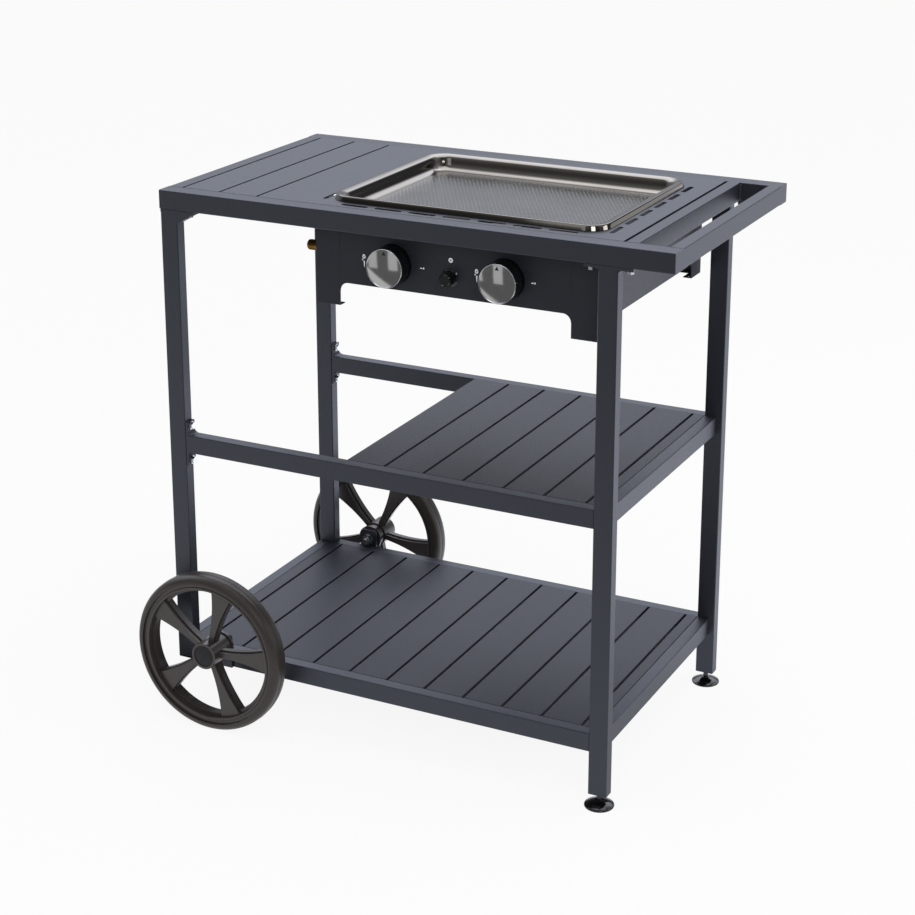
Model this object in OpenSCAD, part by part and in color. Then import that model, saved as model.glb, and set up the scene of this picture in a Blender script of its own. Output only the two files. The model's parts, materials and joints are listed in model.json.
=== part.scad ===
// Outdoor gas griddle station: a tube trolley with a slatted side table, a framed hob with a
// lift-out griddle tray, two shelves, two wheels and two levelling feet. Millimetres.
// Origin: centre of the footprint, on the ground. +X runs to the handle, -Y to the knobs, +Z up.

/* [Tabletop] */
// Length of the tabletop, from its left end to the outside of the handle
top_l = 848; // [820:1:920]
// Depth of the tabletop, front to back
top_d = 480; // [470:1:520]
// Height of the tabletop above the ground
top_h = 875; // [840:1:920]
// Width, seen from above, of the front and back rails
edge_w = 30; // [26:1:34]
// Width of the left end rail
end_rail_w = 22; // [18:1:26]
// Width of the cross tube beside the handle opening
cross_w = 20; // [16:1:26]
// Width of the handle bar
handle_w = 20; // [16:1:26]
// Clear width of the handle opening
handle_gap = 46; // [36:1:60]

/* [Tubes] */
// Wide face of the legs and height of every rail
tube_w = 30; // [26:1:34]
// Narrow face of the legs and shelf rails
tube_t = 20; // [18:1:24]
// Wall of every tube
tube_wall = 1.5; // [1.2:0.1:2.5]
// Outer corner radius of every tube
tube_r = 1.6; // [1:0.1:3]
// Distance from the tabletop's left end to the left legs
leg_inset = 1.5; // [0:0.5:6]
// Distance that the tabletop reaches past the right legs
handle_reach = 84; // [74:1:94]

/* [Shelves] */
// Height of the middle shelf's top
mid_shelf_h = 479.5; // [440:0.5:520]
// Height of the lower shelf's top
low_shelf_h = 121.5; // [118:0.5:124]
// Width of one slat
slat_w = 63; // [58:0.5:66]
// Gap between two slats
slat_gap = 3.7; // [2:0.1:6]
// Thickness of a slat
slat_t = 15; // [12:0.5:18]
// Wall of a slat
slat_wall = 1.2; // [1:0.1:2]
// Width of the narrow filler slat beside the right side rails
filler_w = 18.5; // [14:0.5:24]
// Number of full slats in the middle shelf
mid_slats_n = 6; // [4:1:6]

/* [Wheels and feet] */
// Radius of a wheel over its tyre
wheel_r = 133; // [125:1:138]
// Distance from the tabletop's left end to the axle
axle_x = 91; // [80:0.5:110]
// Width of a tyre
tyre_w = 38; // [34:1:41]
// Depth of the solid rubber tyre, from tread to rim
tyre_t = 13; // [10:0.5:16]
// Depth of the rim under the tyre
rim_t = 10; // [8:0.5:12]
// Number of spokes in a wheel
spokes = 5; // [3:1:6]
// Radius of the wheel's hub
hub_r = 22; // [20:0.5:26]
// Radius of the axle bolt
axle_r = 5; // [4:0.5:5]
// Radius of a levelling foot
foot_r = 23; // [20:0.5:26]
// Height of the right legs above the ground at rest
foot_h = 21.5; // [20:0.5:26]

/* [Griddle tray] */
// Length of the tray over its rim
tray_l = 450; // [436:1:452]
// Depth of the tray over its rim, front to back
tray_d = 350; // [330:1:356]
// Distance from the tabletop's left end to the middle of the tray
tray_x = 491.5; // [488:0.5:494]
// Distance from the tabletop's front to the middle of the tray
tray_y = 231; // [228:1:236]
// Height of the rim above the tabletop
tray_rise = 9; // [7:0.5:12]
// Depth of the tray, from rim to cooking floor
tray_deep = 25; // [20:0.5:30]
// Thickness of the tray's sheet
tray_sheet = 1.5; // [1.2:0.1:2]
// Corner radius of the rim
tray_corner = 34; // [28:1:40]

/* [Burner housing] */
// Width of the housing
box_l = 460; // [456:1:466]
// Thickness of the housing's sheet
sheet = 1.2; // [1:0.1:1.6]
// Width of each corner foot of the housing
corner_w = 40.5; // [34:0.5:46]
// How far the front panel hangs below the tabletop
panel_drop = 117; // [114:1:124]
// How far the side walls hang below the tabletop
side_drop = 130; // [127:1:137]
// How far the corner feet hang below the tabletop
corner_drop = 153; // [147:1:160]
// Radius of the curves between the lower edges and the corner feet
skirt_r = 13; // [8:1:16]

/* [Controls] */
// Distance from the tabletop's left end to the left knob
knob_left_x = 393; // [388:1:396]
// Distance from the tabletop's left end to the right knob
knob_right_x = 577; // [574:1:584]
// Depth of the knobs' axes below the tabletop
knob_drop = 78; // [76:0.5:80]
// Radius of a knob
knob_r = 30; // [26:0.5:31]
// How far a knob stands out of the panel
knob_out = 30.4; // [28:0.2:34]
// How far a knob can be pushed in
knob_travel = 3.5; // [2:0.5:4]
// Distance from the tabletop's left end to the igniter button
spark_x = 487; // [480:1:492]
// Depth of the igniter button's axis below the tabletop
spark_drop = 87; // [85:0.5:89]
// How far the igniter button can be pushed in
spark_travel = 5; // [3:0.5:6]

/* [Gas train] */
// Outer radius of a burner tube
burner_r = 13; // [11:0.5:14]
// Depth of the burners' axes below the tabletop
burner_drop = 57; // [53:0.5:59]
// Length of a burner tube
burner_l = 310; // [280:1:312]
// Outer radius of the manifold pipe
pipe_r = 9; // [8:0.5:9.5]
// Distance from the tabletop's front to the manifold's axis
pipe_y = 76; // [75:0.5:80]
// Radius of the inlet's thread
inlet_r = 8.33; // [7:0.01:9]
// Length of the inlet's thread
inlet_l = 16; // [10:0.5:20]

/* [Hidden] */
// Facets of an arc on a curved face that the model keeps round
ROUND = 48;
// Overrun of every cut
cut = 1;
// Clearance of a turning or sliding fit, and of pieces that only lie beside each other
fit = 0.1;
slack = 0.3;

// Sizes of the plan that follow from the above
wheel_out = wheel_r - axle_x;
left_end = (wheel_out - top_l) / 2;
rail_h = tube_w;
rail_low = top_h - rail_h;
leg_left_x = leg_inset;
leg_right_x = top_l - handle_reach - tube_w;
cross_x = top_l - handle_w - handle_gap - cross_w;
slat_pitch = slat_w + slat_gap;
inner_d = top_d - 2 * edge_w;
shelf_d = top_d - 2 * tube_t;
frame_x = end_rail_w + slat_gap + 3 * slat_pitch - slat_gap + slack;
frame_l = cross_x - slat_gap - frame_x;
panel_low = top_h - panel_drop;
side_low = top_h - side_drop;
corner_low = top_h - corner_drop;
knob_z = top_h - knob_drop;
spark_z = top_h - spark_drop;
burner_z = top_h - burner_drop;

// Plates and bolts that join the frame
plate_t = 4.5;
plate_reach = 22.5;
left_plate_reach = 30;
left_bolt_reach = 18;
bolt_reach = 14;
rail_plate_h = 72;
rail_bolt_off = 29;
weld_small = 6;
gusset_l = 28;
gusset_h = 17;
plate_ease = 1;
weld_rail = 7;
bolt_r = 3;
bolt_hole_r = bolt_r + fit + fit;
bolt_flange_r = 6.5;
bolt_flange_t = 1.5;
bolt_head_r = 5.8;
bolt_head_t = 4;
bolt_tail = 8;
nut_t = 5;
nut_r = 5.8;
plug_t = 2.5;
plug_deep = 14;

// Wheel, axle and bracket
axle_z = wheel_r;
bracket_t = 4;
bracket_w = 32;
bracket_top = 17;
bracket_r = 7;
washer_t = 1.6;
washer_r = 10;
axle_nut_r = 9.2;
axle_nut_t = 8;
axle_tip = 6;
axle_head_r = 9.8;
axle_head_t = 6.5;
hub_gap = 0.5;
hub_l = 55;
hub_lip = 2;
hub_waist_r = hub_r - 2.5;
socket_r = 12;
socket_deep = 12.5;
cap_r = 18;
cap_t = 2.6;
cap_dome = 1;
tyre_off = 14.5;
tyre_round = 12;
tyre_seam = 0.4;
rim_w = tyre_w - 5;
rim_step = 1.5;
rim_web = 5;
rim_web_w = 12;
spoke_t = 20;
spoke_ledge = 2.5;
spoke_ledge_deep = 6;
spoke_root = 7;
spoke_end = 22;
spoke_turn_front = 3;
spoke_turn_back = -9;

// Levelling foot
foot_edge = 2;
foot_dome = 6;
foot_neck_h = 11;
stem_r = 4;
stem_up = 48;
neck_r = 7;

// Hob frame
frame_sheet = 1.5;
frame_lip = 12;
lip_cover = 10;
slot_w = 4.5;
slot_front_l = 45;
slot_front_pitch = 56.7;
slot_front_n = 7;
slot_side_l = 39.5;
slot_side_pitch = 54.6;
slot_side_n = 6;
slot_off_front = 13;
slot_off_share = 0.21;
slot_off_side = slot_off_share * (frame_l - tray_l) / 2;

// Tray section: shares of the wall's run inwards, and of the depth, from the rim to the floor
tray_run = 35;
tray_lip = 5;
tray_steps = 6;
corner_share = 0.52;
tray_section_shares = [[0, 0.06], [0.045, 0], [0.34, 0.03], [0.42, 0.1], [0.47, 0.3], [0.54, 0.62],
                       [0.6, 0.78], [0.7, 0.9], [0.84, 0.98], [1, 1]];

// Housing
box_x = tray_x - box_l / 2;
box_gap = 0.4;
box_y = edge_w + box_gap;
box_d = inner_d - 2 * box_gap;
box_top = top_h - frame_sheet;
hem = 12;
pan_gap = 2;
tab_w = 14;
tab_hole_r = 2.5;
tab_hole_in = 7;
seam = 0.3;
pan_z = panel_low + pan_gap;
pan_rim = 10;
carrier_t = 1.5;
carrier_lip = 14;
carrier_low = 22;
carrier_inset = 12;
carrier_front_y = 100;
carrier_back_y = 372;
tray_floor_low = top_h + tray_rise - tray_deep - tray_sheet;
carrier_top = tray_floor_low - slack;

// Controls
bezel_flange = 1.5;
bezel_r = 31;
bezel_boss_r = 25.5;
bezel_boss = 6;
bezel_bore = 10.5;
knob_skirt = 2.8;
knob_face = 5;
knob_edge = 1.5;
knob_hub_r = 8;
knob_hub_back = 8;
knob_back = bezel_flange + knob_travel + 2 * slack;
stem_shaft_r = 4;
stem_flat = 1;
stem_back = 20;
stem_front = 8;
panel_hole_r = 6;
valve_w = 26;
valve_low = 13;
valve_high = 29;
valve_front = 9;
valve_back = pipe_y - pipe_r - box_y - sheet;
valve_boss_r = 11;
plug_r = 7;
plug_front = 12;
plug_l = 19;
plug_bore = 14;
spud_r = 4.5;
spud_jet_r = 1;
spud_reach = 6;
nipple_r = 5;
nipple_l = 3;
spark_bezel_r = 14;
spark_dome = 5;
spark_body_r = 11;
spark_collar = 11;
spark_button_r = 9.4;
spark_button_out = 18;
spark_button_l = 28;
spark_body_l = 28;
spark_body_end = 2;
spark_nut_r = 15;
spark_nut_t = 4;

// Gas pipe, burners and electrodes
pipe_wall = 2;
pipe_end = 22;
inlet_hex_r = 11.5;
inlet_hex_t = 9;
inlet_body_r = 7;
inlet_body_l = 8;
inlet_out = 7;
inlet_bore_r = 3;
burner_wall = 1;
burner_end = 2;
burner_y = pipe_y + pipe_r + 3;
bell_r = burner_r + 2.5;
bell_l = 9;
air_w = 8;
air_l = 16;
air_y = 20;
port_r = 1.6;
ports = 14;
port_turn = 32;
port_start = 60;
port_end = 20;
probe_r = 3.5;
probe_l = 32;
probe_off = 22;
probe_z = 8;
probe_back = 10;
probe_wire_r = 0.9;
probe_wire_l = 16;

// Place along the tabletop, counted from its left end, and across it, counted from its front
function along(a) = a + left_end;
function across(b) = b - top_d / 2;

// Corner-to-corner rectangle with true round corners
module round_rect(w, h, r) {
    translate([r, 0]) square([w - 2 * r, h]);
    translate([0, r]) square([w, h - 2 * r]);
    for (x = [r, w - r], y = [r, h - r]) translate([x, y]) circle(r = r, $fn = ROUND);
}

module tube_section(w, h, wall, r) {
    difference() {
        round_rect(w, h, r);
        translate([wall, wall]) square([w - 2 * wall, h - 2 * wall]);
    }
}

// Tube along X, Y or Z from its low corner
module tube_x(l, w, h, wall = tube_wall, r = tube_r)
    rotate([90, 0, 90]) linear_extrude(l) tube_section(w, h, wall, r);

module tube_y(l, w, h, wall = tube_wall, r = tube_r)
    translate([0, l, 0]) rotate([90, 0, 0]) linear_extrude(l) tube_section(w, h, wall, r);

module tube_z(l, w, d)
    linear_extrude(l) tube_section(w, d, tube_wall, tube_r);

// Pieces of the back are the mirror image of those of the front
module at_back() mirror([0, 1, 0]) children();

// A place on a plane that faces the front: local X is X, local Y is Z and local Z comes forwards
module facing(a, b, z) translate([along(a), across(b), z]) rotate([90, 0, 0]) children();

// Concave fillet between a wall on the left and a ceiling above, and as long as the tube is deep
module weld_fillet(size) {
    translate([0, tube_t, 0]) rotate([90, 0, 0]) linear_extrude(tube_t) difference() {
        translate([0, -size]) square([size, size]);
        translate([size, -size]) circle(r = size, $fn = ROUND);
    }
}

// Flanged hex bolt with its head down and its shank up, and its nut over a grip of joined sheets
module bolt(grip) {
    translate([0, 0, -bolt_flange_t]) cylinder(r = bolt_flange_r, h = bolt_flange_t, $fn = ROUND);
    translate([0, 0, -bolt_flange_t - bolt_head_t]) cylinder(r = bolt_head_r, h = bolt_head_t, $fn = 6);
    cylinder(r = bolt_r, h = grip + bolt_tail, $fn = ROUND);
}

module bolt_nut(grip) {
    translate([0, 0, grip]) difference() {
        cylinder(r = nut_r, h = nut_t, $fn = 6);
        translate([0, 0, -cut]) cylinder(r = bolt_hole_r, h = nut_t + 2 * cut, $fn = ROUND);
    }
}

// Places of the bolts under the front rail, along the tabletop
leg_bolt_places = [leg_left_x + tube_w + left_bolt_reach, leg_right_x - bolt_reach,
                   leg_right_x + tube_w + bolt_reach];

module long_rail() {
    difference() {
        translate([along(0), across(0), rail_low]) tube_x(top_l, edge_w, rail_h);
        for (a = leg_bolt_places)
            translate([along(a), across(tube_t / 2), rail_low - cut])
                cylinder(r = bolt_hole_r, h = tube_wall + 2 * cut, $fn = ROUND);
    }
    for (a = [tube_wall, top_l])
        translate([along(a) - tube_wall, across(tube_wall), rail_low + tube_wall])
            cube([tube_wall, edge_w - 2 * tube_wall, rail_h - 2 * tube_wall]);
}

module top_front_rail() color("#2f333c") long_rail();
module top_back_rail() color("#2f333c") at_back() long_rail();

module short_rail(a, w) translate([along(a), across(edge_w), rail_low]) tube_y(inner_d, w, rail_h);

module top_left_rail() color("#34383f") short_rail(0, end_rail_w);
module cross_tube() color("#34383f") short_rail(cross_x, cross_w);
module handle_bar() color("#34383f") short_rail(top_l - handle_w, handle_w);

module slat(a, b, l, w, z)
    translate([along(a), across(b), z - slat_t]) tube_y(l, w, slat_t, slat_wall, slat_wall);

module top_slats() color("#3b3f47")
    for (i = [0 : 2])
        slat(end_rail_w + slat_gap + i * slat_pitch, edge_w, inner_d, slat_w, top_h);

// Left edge of slat i of a shelf, counted from the right side rail
function shelf_slat_x(i) = leg_right_x - filler_w - (i + 1) * slat_pitch;
low_slats_n = floor((leg_right_x - filler_w - leg_left_x - tube_t) / slat_pitch);

module mid_slats() color("#3b3f47") {
    for (i = [0 : mid_slats_n - 1]) slat(shelf_slat_x(i), tube_t, shelf_d, slat_w, mid_shelf_h);
    slat(leg_right_x - filler_w, tube_t, shelf_d, filler_w, mid_shelf_h);
}

module low_slats() color("#3b3f47") {
    for (i = [0 : low_slats_n - 1]) slat(shelf_slat_x(i), tube_t, shelf_d, slat_w, low_shelf_h);
    slat(leg_right_x - filler_w, tube_t, shelf_d, filler_w, low_shelf_h);
    slat(leg_left_x + tube_t, tube_t, shelf_d,
         shelf_slat_x(low_slats_n - 1) - slat_gap - leg_left_x - tube_t, low_shelf_h);
}

// Sheet frame round the griddle, with a ring of vent slots and lips folded down at its ends
module slot(l) {
    translate([-(l - slot_w) / 2, -slot_w / 2]) square([l - slot_w, slot_w]);
    for (s = [-1, 1]) translate([s * (l - slot_w) / 2, 0]) circle(d = slot_w, $fn = ROUND);
}

module hob_frame() color("#3b3f47") {
    translate([along(0), across(0), top_h - frame_sheet]) linear_extrude(frame_sheet) difference() {
        translate([frame_x, edge_w]) square([frame_l, inner_d]);
        translate([tray_x - tray_l / 2 + lip_cover, tray_y - tray_d / 2 + lip_cover])
            round_rect(tray_l - 2 * lip_cover, tray_d - 2 * lip_cover, tray_corner - lip_cover);
        for (s = [-1, 1], i = [0 : slot_front_n - 1])
            translate([tray_x + (i - (slot_front_n - 1) / 2) * slot_front_pitch,
                       tray_y + s * (tray_d / 2 + slot_off_front)]) slot(slot_front_l);
        for (s = [-1, 1], i = [0 : slot_side_n - 1])
            translate([tray_x + s * (tray_l / 2 + slot_off_side),
                       tray_y + (i - (slot_side_n - 1) / 2) * slot_side_pitch])
                rotate(90) slot(slot_side_l);
    }
    for (a = [frame_x, frame_x + frame_l - frame_sheet])
        translate([along(a), across(edge_w), top_h - frame_lip])
            cube([frame_sheet, inner_d, frame_lip - frame_sheet]);
}

// Legs: a tube under a welded plate. The left ones end with the lower rails, the right ones on feet
module leg_holes(places, drill_rails) {
    for (a = places)
        translate([along(a), across(tube_t / 2), rail_low - plate_t - cut])
            cylinder(r = bolt_hole_r, h = plate_t + 2 * cut, $fn = ROUND);
    if (drill_rails)
        for (s = [-1, 1])
            translate([along(leg_left_x + tube_w - tube_wall - cut), across(tube_t / 2),
                       mid_shelf_h - rail_h / 2 + s * rail_bolt_off])
                rotate([0, 90, 0]) cylinder(r = bolt_hole_r, h = tube_wall + 2 * cut, $fn = ROUND);
}

// Slanted gusset under the plate, as deep as the tube
module leg_gusset() translate([0, tube_t, 0]) rotate([90, 0, 0]) linear_extrude(tube_t)
    polygon([[-cut, 0], [gusset_l, 0], [0, -gusset_h], [-cut, -gusset_h]]);

module left_leg() {
    low = low_shelf_h - rail_h;
    difference() {
        union() {
            translate([along(leg_left_x), across(0), low])
                tube_z(rail_low - plate_t - low, tube_w, tube_t);
            translate([along(leg_left_x), across(0), rail_low - plate_t])
                cube([tube_w + left_plate_reach, tube_t, plate_t]);
            translate([along(leg_left_x + tube_w), across(0), rail_low - plate_t]) leg_gusset();
        }
        leg_holes([leg_bolt_places[0]], true);
        // Room for the bolt's head inside the gusset
        translate([along(leg_bolt_places[0]), across(tube_t / 2), rail_low - plate_t - gusset_h])
            cylinder(r = bolt_flange_r + slack, h = gusset_h, $fn = ROUND);
    }
}

module right_leg() {
    difference() {
        union() {
            translate([along(leg_right_x), across(0), foot_h])
                tube_z(rail_low - plate_t - foot_h, tube_w, tube_t);
            translate([along(leg_right_x - plate_reach), across(0), rail_low - plate_t])
                cube([tube_w + 2 * plate_reach, tube_t, plate_t]);
            for (s = [0, 1])
                translate([along(leg_right_x + tube_w / 2), 0, 0]) mirror([s, 0, 0])
                    translate([tube_w / 2, across(0), rail_low - plate_t]) weld_fillet(weld_small);
        }
        leg_holes([leg_bolt_places[1], leg_bolt_places[2]], false);
    }
}

module leg_front_left() color("#2f333c") left_leg();
module leg_back_left() color("#2f333c") at_back() left_leg();
module leg_front_right() color("#2f333c") right_leg();
module leg_back_right() color("#2f333c") at_back() right_leg();

// Plastic plugs in the legs' lower ends. The right ones hold the screws of the feet
module plug_body() translate([tube_wall + fit, tube_wall + fit, 0])
    cube([tube_w - 2 * tube_wall - 2 * fit, tube_t - 2 * tube_wall - 2 * fit, plug_deep]);

module plug_pair() {
    translate([along(leg_left_x), across(0), low_shelf_h - rail_h]) {
        translate([0, 0, -plug_t]) linear_extrude(plug_t) round_rect(tube_w, tube_t, tube_r);
        plug_body();
    }
    difference() {
        translate([along(leg_right_x), across(0), foot_h]) plug_body();
        translate([along(leg_right_x + tube_w / 2), across(tube_t / 2), foot_h - cut])
            cylinder(r = stem_r + fit, h = plug_deep + 2 * cut, $fn = ROUND);
    }
}

module tube_plugs() color("#191a1c") {
    plug_pair();
    at_back() plug_pair();
}

// Levelling foot: a domed disc with a round edge and a short neck, on a threaded stem
module foot() translate([along(leg_right_x + tube_w / 2), across(tube_t / 2), 0]) {
    disc_r = foot_r - foot_edge;
    dome = (disc_r * disc_r + foot_dome * foot_dome) / (2 * foot_dome);
    rotate_extrude($fn = ROUND) {
        square([disc_r, 2 * foot_edge]);
        translate([disc_r, foot_edge]) circle(r = foot_edge, $fn = ROUND / 2);
        intersection() {
            translate([0, 2 * foot_edge + foot_dome - dome]) circle(r = dome, $fn = 2 * ROUND);
            translate([0, 2 * foot_edge - cut]) square([disc_r, foot_dome + 2 * cut]);
        }
    }
    cylinder(r = neck_r, h = foot_neck_h, $fn = ROUND);
    cylinder(r = stem_r, h = foot_h + stem_up, $fn = ROUND);
}

module foot_front() color("#15161a") foot();
module foot_back() color("#15161a") at_back() foot();

// Section of a middle rail's plate, with its edges eased on the side of the leg
module plate_section() polygon([[0, plate_ease], [plate_ease, 0], [plate_t, 0], [plate_t, tube_t],
                                [plate_ease, tube_t], [0, tube_t - plate_ease]]);

// Shelf rails. The middle ones carry a welded plate that is bolted to the left leg
module mid_rail() {
    x = leg_left_x + tube_w + plate_t;
    translate([along(x), across(0), mid_shelf_h - rail_h]) tube_x(leg_right_x - x, tube_t, rail_h);
    for (s = [0, 1])
        translate([along(x), across(0), mid_shelf_h - rail_h / 2]) mirror([0, 0, s])
            translate([0, 0, -rail_h / 2]) weld_fillet(weld_rail);
    difference() {
        translate([along(x - plate_t), across(0), mid_shelf_h - rail_h / 2 - rail_plate_h / 2])
            linear_extrude(rail_plate_h) plate_section();
        for (s = [-1, 1])
            translate([along(x - plate_t - cut), across(tube_t / 2),
                       mid_shelf_h - rail_h / 2 + s * rail_bolt_off])
                rotate([0, 90, 0]) cylinder(r = bolt_hole_r, h = plate_t + 2 * cut, $fn = ROUND);
    }
}

module low_rail() {
    x = leg_left_x + tube_w;
    translate([along(x), across(0), low_shelf_h - rail_h]) tube_x(leg_right_x - x, tube_t, rail_h);
}

module side_rail(a, z) translate([along(a), across(tube_t), z - rail_h])
    tube_y(shelf_d, tube_t, rail_h);

module mid_front_rail() color("#31353d") mid_rail();
module mid_back_rail() color("#31353d") at_back() mid_rail();
module low_front_rail() color("#31353d") low_rail();
module low_back_rail() color("#31353d") at_back() low_rail();
module mid_right_rail() color("#31353d") side_rail(leg_right_x, mid_shelf_h);
module low_right_rail() color("#31353d") side_rail(leg_right_x, low_shelf_h);
module low_left_rail() color("#31353d") side_rail(leg_left_x, low_shelf_h);

module leg_bolt_row() {
    for (a = leg_bolt_places)
        translate([along(a), across(tube_t / 2), rail_low - plate_t]) {
            bolt(plate_t + tube_wall);
            bolt_nut(plate_t + tube_wall);
        }
}

module leg_bolts() color("#b9bcc0") {
    leg_bolt_row();
    at_back() leg_bolt_row();
}

module rail_bolt_pair() {
    for (s = [-1, 1])
        translate([along(leg_left_x + tube_w + plate_t), across(tube_t / 2),
                   mid_shelf_h - rail_h / 2 + s * rail_bolt_off])
            rotate([0, -90, 0]) {
                bolt(plate_t + tube_wall);
                bolt_nut(plate_t + tube_wall);
            }
}

module rail_bolts() color("#b9bcc0") {
    rail_bolt_pair();
    at_back() rail_bolt_pair();
}

// Wheels. Local Z runs out along the axle from the bracket's outer face
rim_out = wheel_r - tyre_t;
rim_in = rim_out - rim_t;
rim_off = tyre_off + (tyre_w - rim_w) / 2;
wheel_mid = tyre_off + tyre_w / 2;

module on_axle() facing(axle_x, -bracket_t, axle_z) children();

// Waisted spoke, narrow over the hub and flared into the rim, drawn along +X
module spoke_outline(inset) {
    run = rim_in + rim_step - hub_r;
    flare = (run * run + pow(spoke_end - spoke_root, 2)) / (2 * (spoke_end - spoke_root));
    difference() {
        translate([0, -spoke_end + inset])
            square([rim_in + rim_step, 2 * (spoke_end - inset)]);
        for (s = [-1, 1]) {
            translate([hub_r, s * (spoke_root + flare)]) circle(r = flare + inset, $fn = 4 * ROUND);
            translate([-cut, s * (spoke_root - inset + spoke_end / 2) - spoke_end / 2])
                square([hub_r + cut, spoke_end]);
        }
    }
}

module spoke() {
    translate([0, 0, -spoke_t / 2]) linear_extrude(spoke_t) spoke_outline(spoke_ledge);
    translate([0, 0, -spoke_t / 2 + spoke_ledge_deep]) linear_extrude(spoke_t - 2 * spoke_ledge_deep)
        spoke_outline(0);
}

module wheel(turn) {
    difference() {
        union() {
            // Hub barrel with a collar at each end
            rotate_extrude($fn = 2 * ROUND) difference() {
                translate([0, hub_gap + washer_t]) square([hub_r, hub_l - hub_gap]);
                translate([hub_waist_r, hub_gap + washer_t + 2 * hub_lip])
                    square([hub_r, tyre_off]);
            }
            // Rim with a raised inner band, and a web inside it that the spokes run into
            rotate_extrude($fn = 2 * ROUND) {
                translate([rim_in, rim_off + rim_step]) square([rim_t - fit, rim_w - 2 * rim_step]);
                translate([rim_in, rim_off]) round_rect(rim_t / 2, rim_w, rim_step);
                translate([rim_in - rim_web, wheel_mid - rim_web_w / 2]) square([2 * rim_web, rim_web_w]);
            }
            translate([0, 0, wheel_mid])
                for (i = [0 : spokes - 1]) rotate(turn + i * 360 / spokes) spoke();
        }
        translate([0, 0, -cut]) cylinder(r = axle_r + fit, h = hub_l + 2 * wheel_r, $fn = ROUND);
        translate([0, 0, washer_t + hub_l - socket_deep]) cylinder(r = socket_r, h = wheel_r, $fn = ROUND);
        translate([0, 0, washer_t + hub_l - cap_t - slack]) cylinder(r = cap_r + fit, h = wheel_r, $fn = ROUND);
    }
}

// Solid tyre with round shoulders, and the seam that its mould leaves on the tread
module tyre() rotate_extrude($fn = 2 * ROUND) {
    tread = wheel_r - tyre_seam;
    intersection() {
        translate([rim_out, tyre_off]) square([tyre_t, tyre_w]);
        union() {
            translate([0, tyre_off]) square([tread - tyre_round, tyre_w]);
            translate([0, tyre_off + tyre_round]) square([tread, tyre_w - 2 * tyre_round]);
            for (z = [tyre_round, tyre_w - tyre_round])
                translate([tread - tyre_round, tyre_off + z]) circle(r = tyre_round, $fn = ROUND);
        }
    }
    translate([tread - tyre_seam, wheel_mid - tyre_seam]) square([2 * tyre_seam, 2 * tyre_seam]);
}

module hub_cap() translate([0, 0, washer_t + hub_l - cap_t]) {
    cylinder(r = cap_r, h = cap_t - cap_dome, $fn = ROUND);
    translate([0, 0, cap_t - cap_dome]) intersection() {
        cylinder(r = cap_r, h = cap_dome, $fn = ROUND);
        dome = (cap_r * cap_r + cap_dome * cap_dome) / (2 * cap_dome);
        translate([0, 0, cap_dome - dome]) sphere(r = dome, $fn = 4 * ROUND);
    }
}

// Axle bolt with its head in the hub's socket, its washers and the nut inside the bracket
module axle() {
    head = washer_t + hub_l - socket_deep + slack;
    tail = bracket_t + washer_t + axle_nut_t + axle_tip;
    translate([0, 0, -tail]) cylinder(r = axle_r, h = head + tail, $fn = ROUND);
    translate([0, 0, head]) cylinder(r = axle_head_r, h = axle_head_t, $fn = 6);
    for (z = [0, -bracket_t - washer_t]) translate([0, 0, z]) difference() {
        cylinder(r = washer_r, h = washer_t, $fn = ROUND);
        translate([0, 0, -cut]) cylinder(r = axle_r + fit, h = washer_t + 2 * cut, $fn = ROUND);
    }
    translate([0, 0, -bracket_t - washer_t - axle_nut_t]) difference() {
        cylinder(r = axle_nut_r, h = axle_nut_t, $fn = 6);
        translate([0, 0, -cut]) cylinder(r = axle_r + fit, h = axle_nut_t + 2 * cut, $fn = ROUND);
    }
}

module bracket() translate([0, 0, -bracket_t]) linear_extrude(bracket_t) difference() {
    low = axle_z - low_shelf_h + rail_h;
    union() {
        translate([-bracket_w / 2, -low]) square([bracket_w, low + bracket_top - bracket_r]);
        translate([-bracket_w / 2, -low]) round_rect(bracket_w, low + bracket_top, bracket_r);
        translate([-bracket_w / 2, -low]) square([bracket_w, bracket_r]);
    }
    circle(r = axle_r + fit, $fn = ROUND);
}

module wheel_front() color("#37332f") on_axle() wheel(spoke_turn_front);
module wheel_back() color("#37332f") at_back() on_axle() wheel(spoke_turn_back);
module tyre_front() color("#33302c") on_axle() tyre();
module tyre_back() color("#33302c") at_back() on_axle() tyre();
module hub_cap_front() color("#26262b") on_axle() hub_cap();
module hub_cap_back() color("#26262b") at_back() on_axle() hub_cap();
module axle_front() color("#a9acb0") on_axle() axle();
module axle_back() color("#a9acb0") at_back() on_axle() axle();
module bracket_front() color("#1f2126") on_axle() bracket();
module bracket_back() color("#1f2126") at_back() on_axle() bracket();

// Housing. Each end is one folded sheet: a side wall with a strip round the front and the back
// corner, cut away below into corner feet, whose tabs are folded in and drilled
module side_cut() {
    run = box_d - 2 * corner_w;
    translate([corner_w, corner_low - cut]) square([run, side_low - corner_low - skirt_r + cut]);
    translate([corner_w, corner_low]) round_rect(run, side_low - corner_low, skirt_r);
}

module corner_tab() difference() {
    union() {
        square([corner_w, tab_w]);
        square([tab_w, corner_w]);
    }
    for (p = [[corner_w - tab_hole_in, tab_hole_in], [tab_hole_in, corner_w - tab_hole_in]])
        translate(p) circle(r = tab_hole_r, $fn = ROUND);
}

module housing_end() difference() {
    union() {
        translate([along(box_x), across(box_y), corner_low])
            linear_extrude(box_top - corner_low) difference() {
                square([corner_w, box_d]);
                translate([sheet, sheet]) square([corner_w, box_d - 2 * sheet]);
            }
        for (s = [0, 1]) mirror([0, s, 0])
            translate([along(box_x), across(box_y), corner_low]) linear_extrude(sheet) corner_tab();
    }
    translate([along(box_x) - cut, across(box_y), 0]) rotate([90, 0, 90])
        linear_extrude(sheet + 2 * cut) side_cut();
}

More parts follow.
